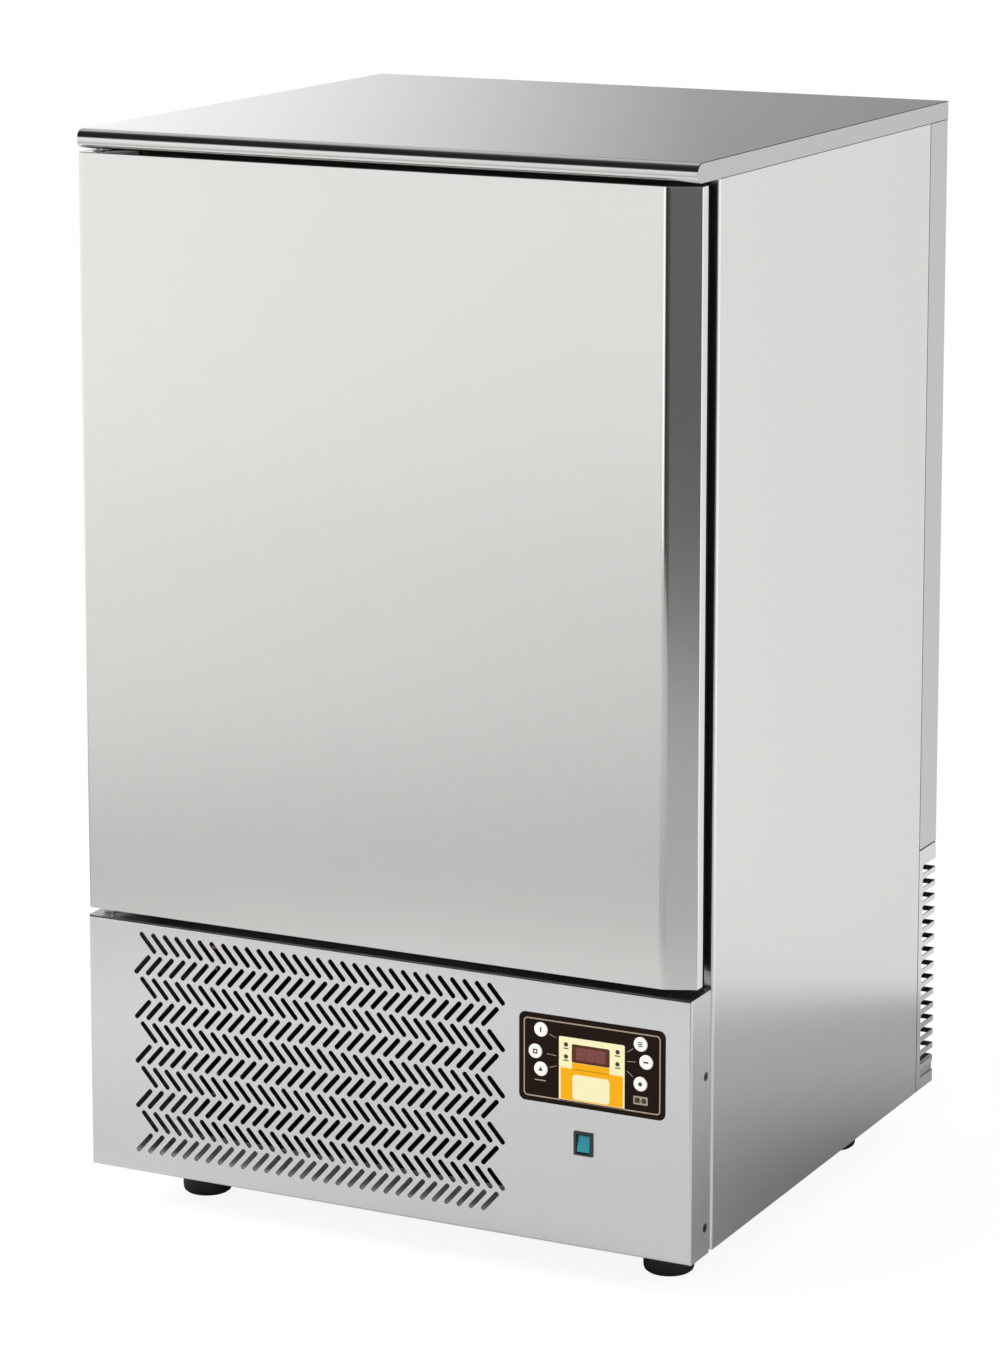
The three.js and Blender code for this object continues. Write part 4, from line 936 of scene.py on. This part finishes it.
def make_window():
    """The display: a red cover, and on it a paler field and three unlit seven-bar figures."""
    x0, x1, z0, z1 = WINDOW
    field = (x0 + 4.7, x1 - 4.7, z0 + 3.1, z1 - 3.1)
    parts = [(plate(x0, x1, z0, z1, WINDOW_Y, WINDOW_BACK_Y, 1.5, 0.3, 4), COVER),
             (plate(*field, WINDOW_Y - 0.08, WINDOW_Y, 0.8), FIELD)]
    middle_x, middle_z = (x0 + x1) / 2, (z0 + z1) / 2
    for place in (-11.5, 0, 11.5):
        for x, z, turn in SEGMENTS:
            bar = flat([(-2.2, 0, -0.8), (2.2, 0, -0.8), (3, 0, 0), (2.2, 0, 0.8), (-2.2, 0, 0.8),
                        (-3, 0, 0)])
            thick(bar, 0.1)
            lean = Matrix.Rotation(math.radians(6), 4, "Y")
            bar.transform(Matrix.Translation((middle_x + place, WINDOW_Y - 0.18, middle_z)) @ lean
                          @ Matrix.Translation((x, 0, z)) @ Matrix.Rotation(math.radians(turn), 4, "Y"))
            parts += [(bar, FIGURE)]
    piece("display_cover", together(*parts), [window_red, diffuser_red, digit_red], "cabinet",
          "display_window")


def button_mark(name):
    """The small dark figure on a cap, around the origin in (x, z)."""
    height = 0.2

    def bar(x0, x1, z0, z1):
        return plate(x0, x1, z0, z1, -height, 0, 0.3, steps=3)

    def pointed(*corners):
        return thick(flat([(x, -height, z) for x, z in corners]), height)

    marks = {
        "left_top": lambda: [bar(-0.8, 0.8, -3.0, 3.0)],
        "left_middle": lambda: [bar(-2.8, -1.4, -2.8, 2.8), bar(1.4, 2.8, -2.8, 2.8),
                                bar(-1.4, 1.4, 1.4, 2.8), bar(-1.4, 1.4, -2.8, -1.4)],
        "left_bottom": lambda: [pointed((-2.8, -2), (2.8, -2), (0, 2.8))],
        "right_top": lambda: [bar(-2.6, 2.6, 1.6, 2.7), bar(-2.6, 2.6, -0.55, 0.55),
                              bar(-2.6, 2.6, -2.7, -1.6)],
        "right_middle": lambda: [bar(-3.2, 3.2, -0.9, 0.9)],
        "right_bottom": lambda: [pointed((0, -3), (3, 0), (0, 3), (-3, 0))],
    }
    return together(*marks[name]())


def make_buttons():
    mark_height = 6.05
    profile = [(0, 0), (9.8, 0), (9.8, 2), (BUTTON_RADIUS, 2), (BUTTON_RADIUS, 5.1), (8.35, 5.75),
               (7.8, 6.15), (7.1, 6.3), (6.3, 6.2), (4, 6.1), (0, 6.1)]
    for name, (x, z) in BUTTONS.items():
        bm = bmesh.new()
        centre = Vector((x, BUTTON_BACK_Y, z))
        put(bm, spun(profile, 40), at(centre, FRONT))
        put(bm, button_mark(name), Matrix.Translation(centre - Vector((0, mark_height, 0))), 1)
        piece(f"cap_{name}", bm, [button_cap, print_dark], f"button_{name}", f"button_{name}")


make_fascia()
make_print()
make_window()
make_buttons()
refined("switch_housing", "cabinet", 0.5)
refined("switch_rocker", "switch_rocker", 0.6, 15)
refined("controller_housing", "cabinet", 1.0)


# ---------------------------------------------------------------- door

(_, _, DOOR_Z), (_, DOOR_BACK_Y, DOOR_TOP_Z) = span("door_skin")
GRIP_X, GRIP_BEVEL_X, LIP_Y, LIP_BACK_Y = 352, 358, -361.5, -347
PIVOT = centre_of("hinge_bush_bottom")[:2]


def make_door_skin():
    corners = [(-SIDE_X, DOOR_BACK_Y), (-SIDE_X, FRONT_Y), (GRIP_BEVEL_X, FRONT_Y), (SIDE_X, LIP_Y),
               (SIDE_X, LIP_BACK_Y), (GRIP_X, LIP_BACK_Y), (GRIP_X, DOOR_BACK_Y)]
    bm = flat([(x, y, DOOR_Z) for x, y in corners])
    risen = bmesh.ops.extrude_face_region(bm, geom=bm.faces[:])["geom"]
    bmesh.ops.translate(bm, vec=(0, 0, DOOR_TOP_Z - DOOR_Z),
                        verts=[g for g in risen if isinstance(g, bmesh.types.BMVert)])
    bmesh.ops.recalc_face_normals(bm, faces=bm.faces)
    bmesh.ops.delete(bm, geom=faces_at(bm, DOOR_BACK_Y), context="FACES_ONLY")
    for (x, y), size, steps in (((-SIDE_X, FRONT_Y), 6, 6), ((GRIP_BEVEL_X, FRONT_Y), 4.3, 8),
                                ((SIDE_X, LIP_Y), 1.35, 4), ((SIDE_X, LIP_BACK_Y), 1.2, 3)):
        round_edges(bm, edges_at(bm, x=x, y=y), size, steps)
    for z in (DOOR_Z, DOOR_TOP_Z):
        rim = [e for e in edges_at(bm, z=z) if not e.is_boundary]
        round_edges(bm, rim, 1.0, 2)
    thick(bm, SHEET)
    bores = spun([(0, 300), (8.6, 300), (8.6, 1400), (0, 1400)], 32)
    bm = carved(bm, placed(bores, (*PIVOT, 0)))
    for face in bm.faces:  # the fold before the grip shows brighter; the grip's hollow is painted black as shade
        middle = face.calc_center_median()
        grip_fold = abs(middle.x - GRIP_BEVEL_X) < 4.6 and -0.9999 < face.normal.y < -0.935
        # painted shade: the faces of the grip's hollow take black plastic, though they are the door's steel
        hollow = middle.x > GRIP_X - SHEET and middle.y > LIP_BACK_Y - SHEET
        face.material_index = 2 if hollow else int(grip_fold or middle.x > SIDE_X - 2)
    piece("door_sheet", bm, [brushed_front, brushed_fold, black_plastic], "door", "door_skin")


def nested(loops):
    """A band through rounded rectangles, each given as (half width, low, high, radius, depth)."""
    bm = bmesh.new()
    rings = [outline(bm, -x, x, low, high, y, radius) for x, low, high, radius, y in loops]
    for first, second in zip(rings, rings[1:]):
        bmesh.ops.bridge_loops(bm, edges=first + second)
    bmesh.ops.remove_doubles(bm, verts=bm.verts, dist=0.001)
    bmesh.ops.recalc_face_normals(bm, faces=bm.faces)
    return bm


def make_door_liner():
    """The drawn inner sheet with its raised plug."""
    x, low, high = 326.2, 441.9, 1220.7
    face, top = DOOR_BACK_Y, depths_of("door_liner")[1]
    bm = bmesh.new()
    outline(bm, *front_of("door_liner"), face)
    plug = outline(bm, -x, x, low, high, face, 14, 8)
    fill_outlines(bm, BACK)
    corners, rim = grown(bm, plug)
    bmesh.ops.translate(bm, vec=(0, top - face, 0), verts=corners)
    bmesh.ops.contextual_create(bm, geom=rim)
    cap = turned_sheet(bm, top, BACK)
    round_edges(bm, cap.edges[:], 5, 5)
    foot = [e for e in edges_at(bm, y=face) if len(e.link_faces) == 2 and e.calc_face_angle(0) > 1]
    round_edges(bm, foot, 2.5, 3)
    thick(bm, SHEET)
    piece("door_inner_sheet", bm, liner_steel, "door", "door_liner")


def make_gasket():
    """A magnetic seal: a foot, two bellows and a wide flat face."""
    base, face = depths_of("door_gasket")
    _, x, low, high = front_of("door_gasket")
    x, low, high, radius = x - 6, low + 6, high - 6, 20  # its middle line

    def loop(offset, y):
        return (x + offset, low - offset, high + offset, radius + offset, y)

    profile = [(-3.0, base), (3.0, base), (3.4, base + 0.8), (2.2, base + 1.6), (4.6, base + 2.6),
               (4.6, base + 3.2), (6.0, base + 4.2), (6.0, face - 0.5), (5.4, face), (-5.4, face),
               (-6.0, face - 0.5), (-6.0, base + 4.2), (-4.6, base + 3.2), (-4.6, base + 2.6),
               (-2.2, base + 1.6), (-3.4, base + 0.8), (-3.0, base)]
    piece("door_seal", nested([loop(*p) for p in profile]), black_rubber, "door", "door_gasket")


def make_front_trim():
    """The plastic frame, with lips that close the slits over and under it."""
    bm = cad_copy("front_trim")
    round_edges(bm, sharp_edges(bm), 0.4)
    for left, low, high in ((-335, 1286.3, 1289.5), (-341.5, 364, 375.6)):
        put(bm, box((left, CABINET_Y, low), (383, CABINET_Y + 1.4, high)))
    piece("front_trim_shape", bm, black_plastic, "cabinet", "front_trim")


make_door_skin()
make_door_liner()
make_gasket()
refined("hinge_bracket_top", "cabinet", 0.5)
refined("hinge_bracket_bottom", "cabinet", 0.6)
make_front_trim()


# ---------------------------------------------------------------- chamber

LINER_WALL = 1.2
(_, COWL_Y, COWL_LOW), (COWL_X, COWL_END_Y, COWL_HIGH) = span("evaporator_baffle")
FAN_LEVELS = [(level, centre_of(f"fan_guard_{level}")[2]) for level in ("lower", "upper")]
FAN_Y = 174.5  # where the noses of the chamber's fans are
MOTOR_BEHIND = 10.3  # from a fan's nose to the end of its motor's shaft


def make_liner():
    (_, front, low), (x, back, high) = span("chamber_liner")
    x, back, low, high = x - LINER_WALL, back - LINER_WALL, low + LINER_WALL, high - LINER_WALL
    bm = box((-x, front, low), (x, back, high))
    bmesh.ops.delete(bm, geom=faces_at(bm, front), context="FACES_ONLY")
    round_edges(bm, [e for e in bm.edges if not e.is_boundary], 12, 6)
    bmesh.ops.reverse_faces(bm, faces=bm.faces)
    piece("liner_tank", thick(bm, LINER_WALL), liner_steel, "cabinet", "chamber_liner")


def make_cowl():
    """The folded cowl, with a lip rolled back round each fan."""
    bm = bmesh.new()
    outline(bm, -COWL_X + 4, COWL_X - 4, COWL_LOW, COWL_HIGH, COWL_Y)
    middles = [(0, COWL_Y, z) for _, z in FAN_LEVELS]
    rings = [loop_edges(bm, circle(125.5, middle)) for middle in middles]
    fill_outlines(bm)
    for middle, ring in zip(middles, rings):
        roll_mouth(bm, ring, middle, ((124.4, 0.5), (123.2, 1.8), (123.0, 3.4), (123.0, 6.5)))
    for side in (-1, 1):
        edge = edges_at(bm, x=side * (COWL_X - 4), y=COWL_Y)
        for out, back in ((1.53, 0.3), (1.3, 0.87), (0.87, 1.3), (0.3, 1.53), (0, COWL_END_Y - COWL_Y - 4)):
            corners, edge = grown(bm, edge)
            bmesh.ops.translate(bm, vec=(side * out, back, 0), verts=corners)
    turned_sheet(bm, COWL_Y, FRONT)
    thick(bm, SHEET)
    heads, holes = screws([(x, COWL_Y, z) for x in (-284, 284) for z in (482, 831.3, 1180)], FRONT, 4)
    piece("cowl_sheet", carved(bm, holes), liner_steel, "cabinet", "evaporator_baffle")
    piece("cowl_screws", heads, screw_steel, "cabinet")


def make_fan_guards():
    """Welded wire rings on four spokes, each spoke ending in a screwed eye."""
    for level, z in FAN_LEVELS:
        bm = bmesh.new()
        for radius in (24, 37, 50, 63, 76, 89, 102, 115, 128):
            put(bm, hoop(radius, 0.95), at((0, 0, 2.0)))
        for turn in range(4):
            turned = Matrix.Rotation(math.pi / 2 * turn, 4, "Z")
            put(bm, rod([turned @ Vector((r, 0, 1.1)) for r in (22, 126)], 1.1))
            eye = spun([(0, 0), (4.6, 0), (4.6, 1.2), (3.2, 2.4), (1.6, 2.4), (0.9, 1.4), (0, 1.4)], 20)
            put(bm, eye, at(turned @ Vector((127, 0, 0))))
        node = f"fan_guard_{level}"
        guard = placed(bm, (0, depths_of(node)[1], z), FRONT)
        piece(f"wire_guard_{level}", guard, bright_steel, "cabinet", node)


def blade(root, tip, pitch):
    """One blade about the upright axis, twisted from root to tip and hollow towards the front."""
    bm = bmesh.new()
    bmesh.ops.create_grid(bm, x_segments=8, y_segments=8, size=0.5)
    for corner in bm.verts:
        out, across = corner.co.x + 0.5, corner.co.y + 0.5
        radius = root + (tip - root) * out
        swell = math.sin(math.pi / 2 * min(1, out / 0.7))
        lead = -root * 0.5 - (tip * 0.385 - root * 0.5) * swell
        trail = root * 0.5 + (tip * 0.19 - root * 0.5) * swell
        shorten = max(0, (out - 0.86) / 0.14) ** 2 * 0.13
        along = lead + (trail - lead) * (shorten + across * (1 - 2 * shorten))
        slope = math.radians(pitch) * (1.45 - 0.45 * out)
        angle = along * math.cos(slope) / radius
        hollow = 0.05 * (trail - lead) * 4 * across * (1 - across)
        corner.co = (radius * math.cos(angle), radius * math.sin(angle), along * math.sin(slope) + hollow)
    return thick(bm, 1.6)


def fan(tip, hub, pitch):
    """A five-bladed fan about the upright axis, its cup hub's nose at height 0."""
    bm = spun([(0, 0), (hub - 5, 0), (hub - 1.6, 1.0), (hub, 3.4), (hub, 26), (hub - 2.4, 26),
               (hub - 2.4, 8), (8, 8), (8, 24), (4.3, 24), (4.3, 10), (0, 10)], 40)
    for turn in range(5):
        put(bm, blade(hub - 1, tip, pitch), Matrix.Rotation(math.tau / 5 * turn, 4, "Z") @ at((0, 0, 13)))
        rib = box((8, -0.9, 8), (hub - 2, 0.9, 20))
        put(bm, rib, Matrix.Rotation(math.tau / 5 * (turn + 0.5), 4, "Z"))
    return bm


def fan_motor(radius, length, arm_radius, foot, width):
    """A shaded-pole motor about the upright axis, from its shaft end at 0, on four strap arms."""
    front, back = 17, 17 + length
    bm = spun([(0, 0), (4, 0), (4, front - 4), (9, front - 4), (9, front), (radius - 4, front),
               (radius - 0.8, front + 1), (radius, front + 4), (radius, front + 15),
               (radius - 1.2, front + 15.6), (radius - 1.2, front + 17.4), (radius, front + 18),
               (radius, back - 12), (radius - 1.6, back - 6), (radius - 5, back - 2),
               (radius - 9, back), (0, back)], 40)
    for turn in range(12):
        rib = box((radius - 2, -0.9, front + 20), (radius + 0.9, 0.9, back - 13), 0.4)
        put(bm, rib, Matrix.Rotation(math.tau / 12 * turn, 4, "Z"))
    for angle in (30, 150, 210, 330):
        strap = box((radius - 6, -width / 2, front + 12), (arm_radius, width / 2, front + 15), 0.7)
        for low in (-width / 2 + 1.4, width / 2 - 3.0):
            put(strap, box((radius - 2, low, front + 14.5), (arm_radius - 4, low + 1.6, front + 17), 0.5))
        put(strap, box((arm_radius - 2.6, -width / 2, foot), (arm_radius, width / 2, front + 15), 0.7))
        put(bm, strap, Matrix.Rotation(math.radians(angle), 4, "Z"))
    return bm


def make_evaporator_fans():
    for level, z in FAN_LEVELS:
        name = f"evaporator_fan_{level}"
        wheel = fan(tip=117.6, hub=24, pitch=24)
        piece(f"{name}_wheel", placed(wheel, (0, FAN_Y, z), BACK), black_plastic, name, name)
        motor = fan_motor(radius=30, length=44, arm_radius=130, foot=-15.7, width=12)
        motor = placed(motor, (0, FAN_Y + MOTOR_BEHIND, z), BACK)
        node = f"evaporator_motor_{level}"
        piece(f"{node}_shape", motor, black_enamel, "cabinet", node)


def fins(first, last, count, y0, y1, low, high, leaf):
    bm = bmesh.new()
    for number in range(count):
        x = first + (last - first) * number / (count - 1)
        put(bm, box((x - leaf / 2, y0, low), (x + leaf / 2, y1, high)))
    return bm


def coil_tubes(x0, x1, rows, columns, radius):
    """Straight copper tubes through a coil, at each row's height and each column's depth."""
    bm = bmesh.new()
    for z in rows:
        for y in columns:
            put(bm, spun([(0, 0), (radius, 0), (radius, x1 - x0), (0, x1 - x0)], 12), at((x0, y, z), RIGHT))
    return bm


def make_evaporator_coil():
    (_, y0, low), (x, y1, high) = span("evaporator_coil")
    leaves = fins(-271.9, 271.9, 92, y0 + 4, y1 - 4, low + 4, high - 4, 0.5)
    for near in (-x, x - 2):
        put(leaves, box((near, y0, low), (near + 2, y1, high), 0.5, 1))
    rows = [low + 36 + 49.3 * row for row in range(14)]
    put(leaves, coil_tubes(1.5 - x, x - 1.5, rows, (y0 + 18, y1 - 18), 5), material=1)
    piece("evaporator_block", leaves, [fin_aluminium, copper_tube], "cabinet", "evaporator_coil")


def make_racks():
    (_, near_y, low), (wall_x, far_y, high) = span("tray_rack_right")
    post, rod_x = 16, 297.9
    first_y, last_y = near_y + post / 2, far_y - post / 2
    for name, side in (("left", -1), ("right", 1)):
        bm = bmesh.new()
        for y in (first_y, last_y):
            put(bm, box((wall_x - post, y - post / 2, low), (wall_x, y + post / 2, high), 2.2, 3))
        for level in range(10):
            z = 482.9 + 70 * level
            route = [(wall_x - post + 1, first_y, z), (rod_x, first_y, z), (rod_x, last_y, z),
                     (wall_x - post + 1, last_y, z)]
            put(bm, rod(route, 4, 9, 3))
        bmesh.ops.scale(bm, vec=(side, 1, 1), verts=bm.verts)
        if side < 0:
            bmesh.ops.reverse_faces(bm, faces=bm.faces)
        piece(f"rod_rack_{name}", bm, bright_steel, "cabinet", f"tray_rack_{name}")


make_liner()
make_cowl()
make_fan_guards()
make_evaporator_fans()
make_evaporator_coil()
make_racks()


# ---------------------------------------------------------------- machine space

(COIL_X0, COIL_Y0, COIL_LOW), (COIL_X1, COIL_Y1, COIL_HIGH) = span("condenser_coil")
COIL_MIDDLE = centre_of("condenser_coil")[::2]
CONDENSER_FAN_Y = -220.5
PAN_Z = 62  # the floor that the compressor and the receiver stand on


def make_condenser():
    leaves = fins(COIL_X0 + 22.3, COIL_X1 - 22.3, 126, COIL_Y0 + 4, COIL_Y1 - 4, COIL_LOW + 4,
                  COIL_HIGH - 4, 0.5)
    for near in (COIL_X0, COIL_X1 - 2):
        put(leaves, box((near, COIL_Y0, COIL_LOW), (near + 2, COIL_Y1, COIL_HIGH), 0.5, 1))
    rows = [COIL_LOW + 26 + 26.2 * row for row in range(10)]
    put(leaves, coil_tubes(COIL_X0 + 1.5, COIL_X1 - 1.5, rows, (-290, -273.5, -257), 4), material=1)
    # the fins are black as painted shade for the dark depth behind the grille
    piece("condenser_block", leaves, [fin_black_painted_shade, copper_tube], "cabinet", "condenser_coil")


def make_shroud():
    """The drawn hood behind the coil, with its round mouth rolled inwards."""
    x, z = COIL_MIDDLE
    front, back = depths_of("condenser_shroud")
    bm = bmesh.new()
    rim = outline(bm, COIL_X0 + 4, COIL_X1 - 4, COIL_LOW + 4, COIL_HIGH - 4, back, 8, 4)
    ring = loop_edges(bm, circle(141, (x, back, z)))
    fill_outlines(bm, BACK)
    roll_mouth(bm, ring, (x, back, z), ((139.2, -0.8), (138.1, -2.6), (138, -9)))
    half = ((COIL_X1 - COIL_X0) / 2 - 4, 0, (COIL_HIGH - COIL_LOW) / 2 - 4)
    steps = ((1.5, -0.3), (2.8, -1.2), (3.7, -2.5), (4.0, -4.0), (4.0, front - back))
    fold_rim(bm, rim, (x, 0, z), half, back, steps)
    turned_sheet(bm, back, BACK)
    piece("condenser_hood", thick(bm, SHEET), galvanised, "cabinet", "condenser_shroud")


def make_condenser_fan():
    x, z = COIL_MIDDLE
    wheel = placed(fan(tip=131.6, hub=30, pitch=26), (x, CONDENSER_FAN_Y, z), BACK)
    piece("condenser_fan_wheel", wheel, black_plastic, "condenser_fan", "condenser_fan")
    motor = fan_motor(radius=42, length=58, arm_radius=146, foot=20.6, width=16)
    motor = placed(motor, (x, CONDENSER_FAN_Y + MOTOR_BEHIND, z), BACK)
    piece("condenser_motor_shape", motor, black_enamel, "cabinet", "condenser_motor")


def make_compressor():
    """A welded can on a pressed plate with four rubber mounts, and its terminal cover."""
    centre = (190, 170.5, PAN_Z)
    can = spun([(0, 18), (60, 19.5), (76, 23), (86, 31), (91, 44), (92, 56), (92, 124), (94.6, 126),
                (94.6, 136), (90.5, 139), (89.5, 170), (86, 190), (78, 210), (64, 225), (44, 233.5),
                (22, 237.2), (0, 238)], 56)
    base = thick(flat([(-92, -92, 0), (92, -92, 0), (92, 92, 0), (-92, 92, 0)], 18), 8)
    base = placed(base, (0, 0, 22))
    put(can, round_edges(base, sharp_edges(base, 60), 1.2, 2))
    cover = box((-24, -114, 48), (24, -74, 104), 5, 4)
    put(cover, box((-26, -84, 46), (26, -76, 106), 2, 2))
    put(can, cover)
    rubber = bmesh.new()
    for x in (-74, 74):
        for y in (-74, 74):
            mount = [(0, 0.3), (12, 0.3), (13, 1.5), (13, 6), (10.5, 8), (13, 10), (13, 14), (0, 14)]
            put(rubber, spun(mount, 24), at((x, y, 0)))
            put(can, spun([(0, 22), (7, 22), (7, 24), (5.6, 24), (5.6, 29), (4.6, 30), (0, 30)], 6),
                at((x, y, 0)))
    put(can, rubber, material=1)
    can.transform(Matrix.Translation(centre))
    piece("compressor_shape", can, [black_enamel, black_rubber], "cabinet", "compressor")


def make_receiver():
    x, y, _ = centre_of("liquid_receiver")
    place = (x, y, PAN_Z)
    vessel = spun([(0, 0.3), (33.6, 0.3), (33.6, 11), (30, 12.5), (36, 18), (40.5, 26), (42, 36),
                   (42, 92), (42.7, 93), (42.7, 97), (42, 98), (42, 172), (40, 182), (34, 192),
                   (24, 198.4), (12, 200.6), (8, 201), (8, 206), (5, 206), (5, 212), (0, 212)], 48)
    piece("receiver_vessel", placed(vessel, place), black_enamel, "cabinet", "liquid_receiver")
    drier = spun([(0, 212.3), (5, 212.3), (5, 219), (8, 223), (13.5, 227), (16, 231), (16, 276),
                  (13.5, 281), (8, 287), (5, 291), (5, 312.8), (0, 312.8)], 32)
    piece("drier_shell", placed(drier, place), copper_tube, "cabinet", "filter_drier")


PIPES = {
    "suction_pipe": (8, 26, [(320, 280.5, 374.4), (320, 280.5, 315.1), (330, 210.5, 245.1),
                             (312.7, 170.5, 230.1), (282.7, 170.5, 230.1)]),
    "discharge_pipe": (5, 20, [(190, 77.8, 245.1), (190, 45.5, 245.1), (210, -19.5, 295.1),
                               (267, -183.5, 309.1), (247, -273.5, 313.1), (197.7, -273.5, 313.1)]),
    "liquid_pipe": (5, 20, [(197.7, -273.5, 120), (231, -273.5, 120), (247, -123.5, 110),
                            (-15, 100.5, 120), (-45, 150.5, 130), (-45, 187.8, 130)]),
}


def make_pipes():
    for name, (radius, bend, route) in PIPES.items():
        piece(f"{name}_run", rod(route, radius, bend, 4), copper_tube, "cabinet", name)


def make_electrical_box():
    (x0, y0, low), (x1, y1, high) = span("electrical_box")
    bm = box((x0 + 3, y0 + 3, low), (x1 - 3, y1 - 3, high - 16), 4, 3)
    put(bm, box((x0, y0, high - 24), (x1, y1, high), 3, 3))
    for x in (x0 + 17, x1 - 17):
        for y in (y0 + 17, y1 - 17):
            put(bm, spun([(0, 0), (7, 0), (7, 0.6), (6.2, 1.2), (0, 1.2)], 24), at((x, y, high - 1.4)))
    piece("electrical_box_shape", bm, grey_plastic, "cabinet", "electrical_box")


def make_hinge_bushes():
    low = spun([(5.3, 375.1), (11, 375.1), (11, 379.2), (8.3, 379.2), (8.3, 397.1), (7.9, 397.5),
                (5.3, 397.5), (5.3, 375.1)], 40)
    high = spun([(5.3, 1268.5), (7.9, 1268.5), (8.3, 1268.9), (8.3, 1286.5), (5.3, 1286.5),
                 (5.3, 1268.5)], 40)
    for name, bm in (("bottom", low), ("top", high)):
        bm.transform(Matrix.Translation((*PIVOT, 0)))
        piece(f"hinge_bush_{name}_shape", bm, nylon, "door", f"hinge_bush_{name}")


make_condenser()
make_shroud()
make_condenser_fan()
make_compressor()
make_receiver()
make_pipes()
make_electrical_box()
make_hinge_bushes()
